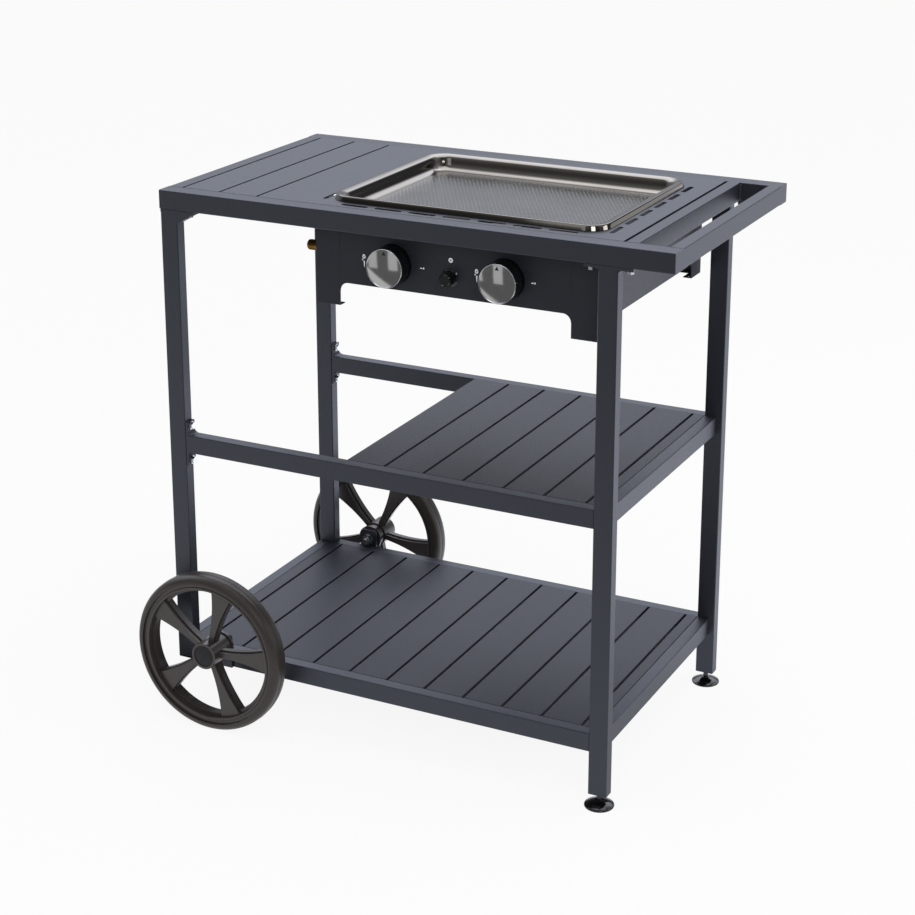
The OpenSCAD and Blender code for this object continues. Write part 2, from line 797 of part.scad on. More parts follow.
module pipe_hole() translate([along(box_x) - cut, across(pipe_y), knob_z]) rotate([0, 90, 0])
    cylinder(r = pipe_r + slack, h = sheet + 2 * cut, $fn = ROUND);

module housing_left() color("#2b2e35") difference() {
    housing_end();
    pipe_hole();
}

module housing_right() color("#2b2e35") translate([along(tray_x), 0, 0]) mirror([1, 0, 0])
    translate([-along(tray_x), 0, 0]) housing_end();

// Front and back panels between the corner strips, hemmed in at the top
module panel() {
    a = box_x + corner_w + seam;
    l = box_l - 2 * corner_w - 2 * seam;
    facing(a, box_y + sheet, 0) linear_extrude(sheet) {
        translate([0, panel_low]) square([l, box_top - panel_low]);
        for (s = [0, 1]) translate([s * l, panel_low]) mirror([s, 0, 0]) difference() {
            translate([0, -skirt_r]) square([skirt_r, skirt_r]);
            translate([skirt_r, -skirt_r]) circle(r = skirt_r, $fn = ROUND);
        }
    }
    translate([along(a), across(box_y + sheet), box_top - sheet]) cube([l, hem, sheet]);
    // Flanges behind the strips, which the panel is riveted through
    for (s = [0, 1])
        translate([along(a + s * (l - sheet)), across(box_y + sheet), panel_low])
            cube([sheet, hem, box_top - sheet - panel_low]);
}

module control_panel() color("#2a2d34") difference() {
    panel();
    for (a = [knob_left_x, knob_right_x])
        facing(a, box_y + sheet + cut, knob_z) cylinder(r = panel_hole_r, h = sheet + 2 * cut, $fn = ROUND);
    facing(spark_x, box_y + sheet + cut, spark_z)
        cylinder(r = spark_body_r + fit, h = sheet + 2 * cut, $fn = ROUND);
}

module housing_back() color("#2a2d34") at_back() panel();

// Carriers: folded cross sheets that the griddle rests on and the burners pass through
module carrier(b) {
    a = box_x + sheet;
    l = box_l - 2 * sheet;
    low = burner_z - carrier_low;
    difference() {
        facing(a, b, low) linear_extrude(carrier_t) square([l, carrier_top - low]);
        for (x = [knob_left_x, knob_right_x]) {
            facing(x, b + cut, burner_z) cylinder(r = burner_r + fit, h = carrier_t + 2 * cut, $fn = ROUND);
            facing(x + probe_off, b + cut, burner_z + probe_z)
                cylinder(r = probe_r + fit, h = carrier_t + 2 * cut, $fn = ROUND);
        }
    }
    translate([along(a + carrier_inset), across(b), carrier_top - carrier_t])
        cube([l - 2 * carrier_inset, carrier_lip, carrier_t]);
}

module carrier_front() color("#8b8d90") carrier(carrier_front_y);
module carrier_back() color("#8b8d90") carrier(carrier_back_y);

module bottom_pan() color("#55585c") difference() {
    a = box_x + sheet;
    b = carrier_front_y + carrier_lip;
    l = box_l - 2 * sheet;
    d = box_y + box_d - 2 * sheet - hem - b;
    translate([along(a), across(b), pan_z]) cube([l, d, pan_rim]);
    translate([along(a + sheet), across(b + sheet), pan_z + sheet])
        cube([l - 2 * sheet, d - 2 * sheet, pan_rim]);
}

// Burner: a straight tube with a flared mouth, air windows and two rows of flame ports
module burner(a) difference() {
    union() {
        facing(a, burner_y + burner_l, burner_z) cylinder(r = burner_r, h = burner_l, $fn = ROUND);
        facing(a, burner_y + bell_l, burner_z) cylinder(r1 = burner_r, r2 = bell_r, h = bell_l, $fn = ROUND);
    }
    facing(a, burner_y + burner_l - burner_end, burner_z)
        cylinder(r = burner_r - burner_wall, h = burner_l, $fn = ROUND);
    for (s = [-1, 1])
        translate([along(a) + s * burner_r - air_w / 4, across(burner_y + air_y), burner_z - air_w / 2])
            mirror([s < 0 ? 1 : 0, 0, 0]) translate([-air_w / 2, 0, 0]) cube([air_w, air_l, air_w]);
    for (s = [-1, 1], i = [0 : ports - 1])
        translate([along(a), across(burner_y + port_start
                   + i * (burner_l - port_start - port_end) / (ports - 1)), burner_z])
            rotate([0, s * port_turn, 0]) cylinder(r = port_r, h = 2 * burner_r, $fn = 16);
}

module burner_left() color("#a3a5a6") burner(knob_left_x);
module burner_right() color("#a3a5a6") burner(knob_right_x);

// Manifold pipe through the left wall, closed at its right end, with a seat for each valve
module gas_manifold() color("#9a9da0") difference() {
    a = box_x - inlet_out;
    l = knob_right_x + pipe_end - a;
    translate([along(a), across(pipe_y), knob_z]) rotate([0, 90, 0]) cylinder(r = pipe_r, h = l, $fn = ROUND);
    translate([along(a) - cut, across(pipe_y), knob_z]) rotate([0, 90, 0])
        cylinder(r = pipe_r - pipe_wall, h = l + cut - pipe_wall, $fn = ROUND);
    for (x = [knob_left_x, knob_right_x])
        facing(x, pipe_y, knob_z) cylinder(r = nipple_r + fit, h = 2 * pipe_r, $fn = ROUND);
}

// Brass inlet: a hex against the pipe's end, a short neck and the thread that takes the hose
module gas_inlet() color("#b08d3c") translate([along(box_x - inlet_out), across(pipe_y), knob_z])
    rotate([0, -90, 0]) difference() {
        union() {
            cylinder(r = inlet_hex_r, h = inlet_hex_t, $fn = 6);
            cylinder(r = inlet_body_r, h = inlet_hex_t + inlet_body_l, $fn = ROUND);
            translate([0, 0, inlet_hex_t + inlet_body_l]) cylinder(r = inlet_r, h = inlet_l, $fn = ROUND);
        }
        translate([0, 0, -cut])
            cylinder(r = inlet_bore_r, h = inlet_hex_t + inlet_body_l + inlet_l + 2 * cut, $fn = ROUND);
    }

// Valve: local Z comes forwards from the panel's inner face, so what lies behind it is negative
module behind_panel(a) facing(a, box_y + sheet, knob_z) children();

module valve(a) behind_panel(a) difference() {
    union() {
        translate([0, 0, -valve_front]) cylinder(r = valve_boss_r, h = valve_front, $fn = ROUND);
        translate([-valve_w / 2, -valve_low, -valve_back])
            cube([valve_w, valve_low + valve_high, valve_back - valve_front]);
        translate([0, 0, -valve_back - nipple_l]) cylinder(r = nipple_r, h = nipple_l, $fn = ROUND);
        translate([0, burner_z - knob_z, box_y + sheet - burner_y - spud_reach])
            cylinder(r = spud_r, h = burner_y + spud_reach - box_y - sheet - valve_back, $fn = ROUND);
    }
    translate([0, 0, -plug_front - plug_l - slack])
        cylinder(r = plug_r + fit, h = plug_l + 2 * slack, $fn = ROUND);
    translate([0, 0, -plug_front]) cylinder(r = stem_shaft_r + slack, h = plug_front + cut, $fn = ROUND);
    translate([0, 0, -valve_back - nipple_l - cut])
        cylinder(r = spud_jet_r, h = nipple_l + valve_back - plug_front - plug_l, $fn = ROUND);
    translate([0, burner_z - knob_z, box_y + sheet - burner_y - spud_reach - cut])
        cylinder(r = spud_jet_r, h = burner_y + spud_reach - box_y - sheet - valve_front - valve_w / 4, $fn = ROUND);
}

// Round section with a flat, for the stem and its seats
module d_section(r, flat) difference() {
    circle(r = r, $fn = ROUND);
    translate([-r - cut, r - flat]) square([2 * r + 2 * cut, r]);
}

module valve_plug(a) behind_panel(a) difference() {
    translate([0, 0, -plug_front - plug_l]) cylinder(r = plug_r, h = plug_l, $fn = ROUND);
    translate([0, 0, -plug_front - plug_bore]) linear_extrude(plug_bore + cut)
        d_section(stem_shaft_r + fit, stem_flat);
}

module valve_stem(a) behind_panel(a) translate([0, 0, -stem_back])
    linear_extrude(stem_back + sheet + knob_out - stem_front) d_section(stem_shaft_r, stem_flat);

module knob(a) facing(a, box_y, knob_z) difference() {
    union() {
        difference() {
            translate([0, 0, knob_back]) cylinder(r = knob_r, h = knob_out - knob_back - knob_edge, $fn = 2 * ROUND);
            translate([0, 0, knob_back - cut])
                cylinder(r = knob_r - knob_skirt, h = knob_out - knob_back - knob_face + cut, $fn = 2 * ROUND);
        }
        translate([0, 0, knob_out - knob_edge])
            cylinder(r1 = knob_r, r2 = knob_r - knob_edge, h = knob_edge, $fn = 2 * ROUND);
        translate([0, 0, knob_hub_back])
            cylinder(r = knob_hub_r, h = knob_out - knob_hub_back - knob_edge, $fn = ROUND);
    }
    translate([0, 0, knob_hub_back - cut]) linear_extrude(knob_out - stem_front + slack - knob_hub_back + cut)
        d_section(stem_shaft_r + fit, stem_flat);
}

module bezel(a) facing(a, box_y, knob_z) difference() {
    union() {
        cylinder(r1 = bezel_r, r2 = bezel_r - bezel_flange / 2, h = bezel_flange, $fn = 2 * ROUND);
        cylinder(r = bezel_boss_r, h = bezel_boss, $fn = 2 * ROUND);
    }
    translate([0, 0, -cut]) cylinder(r = bezel_bore, h = bezel_boss + 2 * cut, $fn = ROUND);
}

module valve_left() color("#b59a4d") valve(knob_left_x);
module valve_right() color("#b59a4d") valve(knob_right_x);
module valve_plug_left() color("#c2a85c") valve_plug(knob_left_x);
module valve_plug_right() color("#c2a85c") valve_plug(knob_right_x);
module valve_stem_left() color("#9c9c98") valve_stem(knob_left_x);
module valve_stem_right() color("#9c9c98") valve_stem(knob_right_x);
module knob_left() color("#c9cacb") knob(knob_left_x);
module knob_right() color("#c9cacb") knob(knob_right_x);

module knob_bezels() color("#1d1f23") {
    bezel(knob_left_x);
    bezel(knob_right_x);
}

// Igniter: a domed bezel with a collar in front of the panel, its barrel and nut behind
module igniter_body() color("#17181b") facing(spark_x, box_y, spark_z) {
    difference() {
        union() {
            intersection() {
                dome = (spark_bezel_r * spark_bezel_r + spark_dome * spark_dome) / (2 * spark_dome);
                translate([0, 0, spark_dome - dome]) sphere(r = dome, $fn = 2 * ROUND);
                cylinder(r = spark_bezel_r, h = spark_dome, $fn = ROUND);
            }
            translate([0, 0, -sheet - spark_body_l])
                cylinder(r = spark_body_r, h = sheet + spark_body_l + spark_collar, $fn = ROUND);
        }
        translate([0, 0, -sheet - spark_body_l + spark_body_end])
            cylinder(r = spark_button_r + fit, h = spark_body_l + spark_button_out, $fn = ROUND);
    }
    translate([0, 0, -sheet - spark_nut_t]) difference() {
        cylinder(r = spark_nut_r, h = spark_nut_t, $fn = 6);
        translate([0, 0, -cut]) cylinder(r = spark_body_r + fit, h = spark_nut_t + 2 * cut, $fn = ROUND);
    }
}

module igniter_button() color("#0f1013") facing(spark_x, box_y, spark_z)
    translate([0, 0, spark_button_out - spark_button_l]) {
        cylinder(r = spark_button_r, h = spark_button_l - knob_edge, $fn = ROUND);
        translate([0, 0, spark_button_l - knob_edge])
            cylinder(r1 = spark_button_r, r2 = spark_button_r - knob_edge, h = knob_edge, $fn = ROUND);
    }

// Electrodes: a ceramic rod through the front carrier beside each burner, with a spark wire
module electrodes() color("#e6e2d6")
    for (a = [knob_left_x, knob_right_x])
        facing(a + probe_off, carrier_front_y - carrier_t + probe_l - probe_back, burner_z + probe_z) {
            cylinder(r = probe_r, h = probe_l, $fn = ROUND);
            translate([0, 0, -probe_wire_l]) cylinder(r = probe_wire_r, h = probe_wire_l + cut, $fn = 16);
        }

// Tray. Its section runs inwards from the rim's edge to the floor and is swept round the corners
function tray_top_line() = concat([[0, -tray_lip]],
    [for (p = tray_section_shares) [p[0] * tray_run, -p[1] * tray_deep]]);
function unit(v) = v / norm(v);
function side(v) = [v[1], -v[0]];
// The same line, one sheet lower, with each point moved square to the line there
function tray_low_line(line) = [for (i = [0 : len(line) - 1])
    let (before = line[max(i - 1, 0)], after = line[min(i + 1, len(line) - 1)],
         square_to = i == len(line) - 1 ? [0, -1] : i == 0 ? [1, 0] : side(unit(after - before)))
    line[i] + tray_sheet * (square_to[1] > 0 ? -square_to : square_to)];
function tray_ring(inset, z) =
    let (r = tray_corner - inset * corner_share, w = tray_l / 2 - inset - r, d = tray_d / 2 - inset - r)
    [for (q = [0 : 3], i = [0 : tray_steps])
        let (turn = 90 * q + 90 * i / tray_steps, sx = q == 0 || q == 3 ? 1 : -1, sy = q < 2 ? 1 : -1)
        [sx * w + r * cos(turn), sy * d + r * sin(turn), z]];

module griddle_tray() color("#b4b2ad") {
    line = tray_top_line();
    low = tray_low_line(line);
    path = concat([for (i = [len(low) - 1 : -1 : 0]) low[i]], line);
    ring_n = 4 * (tray_steps + 1);
    last = (len(path) - 1) * ring_n;
    points = [for (p = path) each tray_ring(p[0], p[1])];
    walls = [for (i = [0 : len(path) - 2], j = [0 : ring_n - 1])
        let (k = (j + 1) % ring_n)
        each [[i * ring_n + k, i * ring_n + j, (i + 1) * ring_n + j],
              [i * ring_n + k, (i + 1) * ring_n + j, (i + 1) * ring_n + k]]];
    floors = [[for (j = [0 : ring_n - 1]) j], [for (j = [ring_n - 1 : -1 : 0]) last + j]];
    translate([along(tray_x), across(tray_y), top_h + tray_rise])
        polyhedron(points, concat(walls, floors), convexity = 6);
}

top_front_rail();
top_back_rail();
top_left_rail();
cross_tube();
handle_bar();
top_slats();
hob_frame();
leg_front_left();
leg_back_left();
leg_front_right();
leg_back_right();
tube_plugs();
foot_front();
foot_back();
mid_front_rail();
mid_back_rail();
mid_right_rail();
low_front_rail();
low_back_rail();
low_left_rail();
low_right_rail();
mid_slats();
low_slats();
leg_bolts();
rail_bolts();
wheel_front();
wheel_back();
tyre_front();
tyre_back();
hub_cap_front();
hub_cap_back();
axle_front();
axle_back();
bracket_front();
bracket_back();
control_panel();
housing_left();
housing_right();
housing_back();
carrier_front();
carrier_back();
bottom_pan();
burner_left();
burner_right();
gas_manifold();
gas_inlet();
valve_left();
valve_right();
valve_plug_left();
valve_plug_right();
valve_stem_left();
valve_stem_right();
knob_left();
knob_right();
knob_bezels();
igniter_body();
igniter_button();
electrodes();
griddle_tray();
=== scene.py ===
# %% [markdown]
# Outdoor gas griddle station.
# A trolley of powder-coated steel tube carries a slatted side table, a hob with a lift-out
# stainless griddle tray, two shelves, two moulded wheels and two levelling feet. The steelwork,
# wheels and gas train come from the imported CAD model, and stay where they are. This file gives
# them their finishes, and makes the small things that CAD left plain.

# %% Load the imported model
import json
import math

import bmesh
import bpy
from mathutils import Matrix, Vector


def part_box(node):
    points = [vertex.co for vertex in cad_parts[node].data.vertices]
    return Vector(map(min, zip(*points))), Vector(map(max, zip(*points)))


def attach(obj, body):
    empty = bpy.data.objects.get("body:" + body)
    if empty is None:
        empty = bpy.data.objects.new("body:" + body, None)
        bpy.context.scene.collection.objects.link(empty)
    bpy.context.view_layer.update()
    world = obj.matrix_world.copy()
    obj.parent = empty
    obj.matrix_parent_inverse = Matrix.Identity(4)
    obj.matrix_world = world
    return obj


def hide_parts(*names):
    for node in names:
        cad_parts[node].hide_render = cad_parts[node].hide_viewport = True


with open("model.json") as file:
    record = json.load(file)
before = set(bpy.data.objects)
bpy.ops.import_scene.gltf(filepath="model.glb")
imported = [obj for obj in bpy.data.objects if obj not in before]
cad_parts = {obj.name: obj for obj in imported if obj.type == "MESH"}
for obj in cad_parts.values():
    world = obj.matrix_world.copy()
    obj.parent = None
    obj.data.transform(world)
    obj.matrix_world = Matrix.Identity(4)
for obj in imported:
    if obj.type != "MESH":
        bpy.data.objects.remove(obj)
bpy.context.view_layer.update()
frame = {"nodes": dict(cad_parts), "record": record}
MM = 0.001

# %% [markdown]
# The camera stands about three metres away, a little higher than the tabletop, to the right of
# the front. A long lens keeps the uprights nearly parallel. The lens looks down by less than the
# picture's centre asks for, and the picture is shifted down instead, as with a view camera.

# %% Camera
camera_data = bpy.data.cameras.new("camera")
camera_data.sensor_width = 36
camera_data.lens = 81.44
camera_data.shift_y = -0.1503
camera_data.clip_end = 200
camera_data.dof.use_dof = False
camera = bpy.data.objects.new("camera", camera_data)
bpy.context.scene.collection.objects.link(camera)
camera.location = (1.4073, -2.8056, 1.6005)
camera.rotation_euler = (math.radians(73.25), 0, math.radians(26.79))
bpy.context.scene.camera = camera
bpy.context.scene.view_settings.view_transform = "Standard"
print("camera distance", round(camera.location.length, 3), "m")

# %% [markdown]
# Two helpers serve every finish. The first turns a colour as a paint program writes it, in sRGB,
# into the linear numbers that a shader works with. The second adds one node to a tree, with its
# settings, its values and what feeds it.

# %% Helpers for colours and nodes
def paint(hex_code):
    """sRGB hex colour as linear red, green, blue and one for alpha"""
    levels = [int(hex_code[i:i + 2], 16) / 255 for i in (1, 3, 5)]
    return [v / 12.92 if v <= 0.04045 else ((v + 0.055) / 1.055) ** 2.4 for v in levels] + [1]


def add(tree, kind, values=None, links=None, **settings):
    """One node with its settings, its socket values, and what feeds its sockets"""
    node = tree.nodes.new(kind)
    for name, setting in settings.items():
        setattr(node, name, setting)
    for socket, value in (values or {}).items():
        node.inputs[socket].default_value = value
    for socket, source in (links or {}).items():
        tree.links.new(source, node.inputs[socket])
    return node


def blank(name):
    """New material with nothing in it but the coordinates of its object"""
    material = bpy.data.materials.new(name)
    material.use_nodes = True
    tree = material.node_tree
    tree.nodes.clear()
    return material, tree, add(tree, "ShaderNodeTexCoord").outputs["Object"]


def close(tree, shader):
    add(tree, "ShaderNodeOutputMaterial", links={"Surface": shader.outputs[0]})


print("mid grey #808080 is", round(paint("#808080")[0], 4), "in linear light")

# %% [markdown]
# The studio is a white room with one broad lit sail behind the trolley. A camera ray that leaves
# the scene finds plain white. A ray that a glossy surface throws back finds a dim wall low down
# behind, the bright sail from about 25 to 60 degrees up, and a greyer ceiling overhead. In front
# and at the right the studio is dark, so that metal has something black to show. All other light
# from the room is a soft grey that fills the shadows. The levels were fitted to the photograph.

# %% The room
COOL_WHITE = "#F2F5FF"
SAIL, CEILING, WALL, FILL = 3, 1.7, 0.45, 0.66
world = bpy.data.worlds.new("white room")
bpy.context.scene.world = world
world.use_nodes = True
room = world.node_tree
room.nodes.clear()
path = add(room, "ShaderNodeLightPath").outputs
heading = add(room, "ShaderNodeSeparateXYZ",
              links={0: add(room, "ShaderNodeTexCoord").outputs["Generated"]}).outputs
rise = add(room, "ShaderNodeMapRange", {"From Min": 0.25, "From Max": 0.6, "To Min": WALL, "To Max": SAIL},
           {"Value": heading["Z"]}, interpolation_type="SMOOTHSTEP").outputs[0]
fall = add(room, "ShaderNodeMapRange", {"From Min": 0.75, "From Max": 0.95, "To Min": SAIL,
                                        "To Max": CEILING}, {"Value": heading["Z"]}).outputs[0]
backdrop = add(room, "ShaderNodeMath", links={0: rise, 1: fall}, operation="MINIMUM").outputs[0]
to_back = add(room, "ShaderNodeMapRange", {"From Min": -0.6, "From Max": 0.1, "To Min": 0.1, "To Max": 1},
              {"Value": heading["Y"]}, interpolation_type="SMOOTHSTEP").outputs[0]
to_right = add(room, "ShaderNodeMapRange", {"From Min": 0.2, "From Max": 0.4, "To Min": 1, "To Max": 0.2},
               {"Value": heading["X"]}).outputs[0]
mirrored = add(room, "ShaderNodeMath", links={0: backdrop, 1: to_back}, operation="MULTIPLY").outputs[0]
mirrored = add(room, "ShaderNodeMath", links={0: mirrored, 1: to_right}, operation="MULTIPLY").outputs[0]
clear = add(room, "ShaderNodeMath", links={0: path["Is Camera Ray"], 1: path["Is Transmission Ray"]},
            operation="MAXIMUM").outputs[0]
level = add(room, "ShaderNodeMix", {"A": FILL}, {"Factor": path["Is Glossy Ray"], "B": mirrored},
            data_type="FLOAT").outputs[0]
level = add(room, "ShaderNodeMath", links={0: level, 1: clear}, operation="MAXIMUM").outputs[0]
coolness = add(room, "ShaderNodeMath", links={0: path["Is Glossy Ray"], 1: to_back},
               operation="MULTIPLY").outputs[0]
tint = add(room, "ShaderNodeMix", {"A": (1, 1, 1, 1), "B": paint(COOL_WHITE)}, {"Factor": coolness},
           data_type="RGBA").outputs["Result"]
add(room, "ShaderNodeOutputWorld", links={"Surface": add(
    room, "ShaderNodeBackground", links={"Color": tint, "Strength": level}).outputs[0]})
print("room:", len(room.nodes), "nodes")

# %% [markdown]
# The floor is a pale sweep of painted board, so wide that its edge never shows. Seen by the
# camera most of its colour is its own even white, and a part is real paint that takes the
# trolley's soft shadow. What glossy things mirror of it is painted light, as in a real studio: for
# glossy rays the floor glows with a bright sheet under the trolley that ends on a slant in front, a
# painted pool of light brighter still behind it under the sail, and a dark floor beyond.

# %% Floor
bpy.ops.object.select_all(action="DESELECT")
bpy.ops.mesh.primitive_circle_add(vertices=64, radius=60, fill_type="NGON", location=(0, 0, 0))
floor = bpy.context.object
floor.name = "floor"
floor_paint, tree, place = blank("white studio board")
path = add(tree, "ShaderNodeLightPath").outputs
grain = add(tree, "ShaderNodeTexNoise", {"Scale": 900, "Detail": 2}, {"Vector": place}).outputs[0]
dull = add(tree, "ShaderNodeBsdfDiffuse", {"Color": paint("#EEEEEE"), "Roughness": 0.5}, {"Normal": add(
    tree, "ShaderNodeBump", {"Strength": 0.05, "Distance": 0.0002}, {"Height": grain}).outputs[0]})
bright = add(tree, "ShaderNodeEmission", {"Color": (1, 1, 1, 1), "Strength": 1})
clear = add(tree, "ShaderNodeMath", links={0: path["Is Camera Ray"], 1: path["Is Transmission Ray"]},
            operation="MAXIMUM").outputs[0]
share = add(tree, "ShaderNodeMath", {1: 0.9}, {0: clear}, operation="MULTIPLY").outputs[0]
looked_at = add(tree, "ShaderNodeMixShader", links={0: share, 1: dull.outputs[0], 2: bright.outputs[0]})
# Painted light: for glossy rays the floor glows with a painted pattern, a bright sheet under the trolley, a
# painted pool of light behind it and a dark floor beyond.
spot = add(tree, "ShaderNodeSeparateXYZ", links={0: place}).outputs
slant = add(tree, "ShaderNodeMath", {1: -0.56}, {0: spot["X"], 2: spot["Y"]},
            operation="MULTIPLY_ADD").outputs[0]
sheet = add(tree, "ShaderNodeMapRange", {"From Min": -1.3, "From Max": -1.22, "To Min": 0.2, "To Max": 0.95},
            {"Value": slant}).outputs[0]
painted_pool_behind = add(tree, "ShaderNodeMapRange", {"From Min": -0.2, "From Max": 0.5, "To Min": 0, "To Max": 1.8},
               {"Value": spot["Y"]}).outputs[0]
fade = add(tree, "ShaderNodeMapRange", {"From Min": 1.4, "From Max": 3.2, "To Min": 1.8, "To Max": 1},
           {"Value": spot["Y"]}).outputs[0]
painted_pool_behind = add(tree, "ShaderNodeMath", links={0: painted_pool_behind, 1: fade}, operation="MINIMUM").outputs[0]
far_front = add(tree, "ShaderNodeMapRange", {"From Min": -3.4, "From Max": -2.7, "To Min": 0.08, "To Max": 0},
                {"Value": spot["Y"]}).outputs[0]
level = add(tree, "ShaderNodeMath", links={0: sheet, 1: painted_pool_behind}, operation="MAXIMUM").outputs[0]
level = add(tree, "ShaderNodeMath", links={0: level, 1: far_front}, operation="MAXIMUM").outputs[0]
coolness = add(tree, "ShaderNodeMapRange", {"From Min": -0.5, "From Max": 0.5},
               {"Value": spot["Y"]}).outputs[0]
tint = add(tree, "ShaderNodeMix", {"A": (1, 1, 1, 1), "B": paint(COOL_WHITE)}, {"Factor": coolness},
           data_type="RGBA").outputs["Result"]
mirrored = add(tree, "ShaderNodeEmission", links={"Color": tint, "Strength": level})
close(tree, add(tree, "ShaderNodeMixShader", links={
    0: path["Is Glossy Ray"], 1: looked_at.outputs[0], 2: mirrored.outputs[0]}))
floor.data.materials.append(floor_paint)
print("floor:", round(floor.dimensions.x), "m across")

# %% [markdown]
# Soft boxes light the trolley. The largest hangs overhead. One stands low at the back on the
# right, where the ends of the tubes mirror it towards the camera, and one fills the right side.
# A small bright one high up in front makes the sparkle in the tray's rounded corners, and a weak
# one keeps the panel from going black. Two faint upright panels stand far in front, only to give
# the chromed knobs something to mirror.

# %% Soft boxes
def soft_box(name, place, aim, wide, high, watts):
    """Area lamp at a place, turned to a point, that the camera itself doesn't see"""
    lamp = bpy.data.lights.new(name, "AREA")
    lamp.shape = "RECTANGLE"
    lamp.size, lamp.size_y, lamp.energy = wide, high, watts
    box = bpy.data.objects.new(name, lamp)
    bpy.context.scene.collection.objects.link(box)
    box.location = place
    box.rotation_euler = (Vector(aim) - Vector(place)).to_track_quat("-Z", "Y").to_euler()
    box.visible_camera = False
    print(name, "gives", round(watts / (math.pi * wide * high), 2), "of white over its face")


soft_box("overhead box", (0.2, 0.3, 2.9), (0, 0, 0.5), 2.4, 2.0, 16)
soft_box("low back box", (1.7, 2.3, 0.6), (0.2, 0, 0.5), 1.4, 1.0, 3)
soft_box("right box", (2.7, 0.5, 1.2), (0.2, 0, 0.5), 1.0, 1.2, 13)
soft_box("sparkle box", (2.3, -2.6, 2.4), (0, 0, 0.8), 1.1, 1.1, 20)
soft_box("front box", (-0.4, -3.2, 2.6), (0, 0, 0.5), 1.4, 1.4, 4)
soft_box("right panel", (-0.993, -2.862, 0.38), (0.08, -0.24, 0.38), 0.38, 0.75, 0.55)
soft_box("left panel", (-1.771, -2.506, 0.38), (0.08, -0.24, 0.38), 0.38, 0.75, 0.55)

# %% [markdown]
# Powder coat is a polyester powder that is sprayed on dry and baked until it flows. It gives an
# even, hard skin with a very fine orange peel, and a soft sheen instead of a mirror. Anthracite
# looks nearly black from the front, and light grey where it is seen at a low angle, as on the
# tabletop. The peel is about 1.4 mm from crest to crest, and the tone drifts a little over
# about 180 mm, from tube to tube. The paint is one and the same everywhere. Its four strengths of
# gloss here were fitted to the photograph, tabletop, frame, shelves and sheet each by itself, and
# are painted light and shade: the tabletop slats reflect most so that they look lit, and the
# shelves under the tabletop reflect least so that they look shaded.

# %% Powder coat
PEEL_MM, DRIFT_MM = 1.4, 180


def powder_coat(name, tone, rough, gloss):
    material, tree, place = blank(name)
    peel = add(tree, "ShaderNodeTexNoise", {"Scale": 1 / (PEEL_MM * MM), "Detail": 1.5},
               {"Vector": place}).outputs[0]
    drift = add(tree, "ShaderNodeTexNoise", {"Scale": 1 / (DRIFT_MM * MM), "Detail": 3},
                {"Vector": place}).outputs[0]
    tone_now = add(tree, "ShaderNodeMix", {"A": paint(tone), "B": [1.35 * v for v in paint(tone)[:3]] + [1]},
                   {"Factor": drift}, data_type="RGBA", clamp_factor=True)
    speckle = add(tree, "ShaderNodeMapRange", {"From Min": 0.35, "From Max": 0.65, "To Min": rough - 0.04,
                                               "To Max": rough + 0.05}, {"Value": peel}).outputs[0]
    skin = add(tree, "ShaderNodeBump", {"Strength": 0.22, "Distance": 0.05 * MM}, {"Height": peel}).outputs[0]
    close(tree, add(tree, "ShaderNodeBsdfPrincipled", {
        "IOR": 1.5, "Specular IOR Level": gloss, "Specular Tint": paint("#DCE6F6")}, {
            "Base Color": tone_now.outputs["Result"], "Roughness": speckle, "Normal": skin}))
    return material


# Painted light and shade: one paint with a gloss per part, strongest on the tabletop slats and the hob sheet,
# weakest on the shelves and the housing sheet.
frame_coat = powder_coat("anthracite powder coat", "#1A1B22", 0.48, 0.9)
slat_coat_painted_light = powder_coat("anthracite powder coat on slats, painted light", "#1C1D24", 0.46, 1)
shelf_coat_painted_shade = powder_coat("anthracite powder coat on shelves, painted shade", "#1C1D24", 0.46, 0.45)
housing_coat = powder_coat("anthracite powder coat on sheet", "#202126", 0.45, 0.42)
print("powder coats:", frame_coat.name, "and three more")

# %% [markdown]
# The bolts and the axles are zinc plated and left bright. Zinc is a cool, slightly cloudy metal.
# The burners and the carriers are aluminised or plain sheet, greyer and duller. Both share one
# recipe: a cloud of small patches that moves the colour and the roughness together.

# %% Bare metals
def bare_metal(name, light, dark, rough, patch_mm):
    material, tree, place = blank(name)
    cloud = add(tree, "ShaderNodeTexNoise", {"Scale": 1 / (patch_mm * MM), "Detail": 4},
                {"Vector": place}).outputs[0]
    tone = add(tree, "ShaderNodeMix", {"A": paint(light), "B": paint(dark)}, {"Factor": cloud},
               data_type="RGBA")
    polish = add(tree, "ShaderNodeMapRange", {"To Min": rough - 0.08, "To Max": rough + 0.1},
                 {"Value": cloud}).outputs[0]
    fine = add(tree, "ShaderNodeTexNoise", {"Scale": 1 / (0.8 * MM)}, {"Vector": place}).outputs[0]
    close(tree, add(tree, "ShaderNodeBsdfPrincipled", {"Metallic": 1}, {
        "Base Color": tone.outputs["Result"], "Roughness": polish, "Normal": add(
            tree, "ShaderNodeBump", {"Strength": 0.1, "Distance": 0.02 * MM}, {"Height": fine}).outputs[0]}))
    return material


zinc = bare_metal("bright zinc plate", "#E4E5E7", "#B4B6BA", 0.2, 5)
sheet_steel = bare_metal("aluminised sheet steel", "#A7A6A3", "#83827F", 0.42, 9)
brass = bare_metal("turned brass", "#B08A4C", "#7E5C2C", 0.28, 4)
print("bare metals:", zinc.name, sheet_steel.name, brass.name)

# %% [markdown]
# The tray is pressed from one stainless sheet. Its rim and walls are mirror polished, with faint
# lines where the sheet was drawn over the die. Its floor is satin, and is embossed all over with
# small dimples. The lines run round the rim, and are about 0.6 mm apart, which is as fine as the
# render can show.

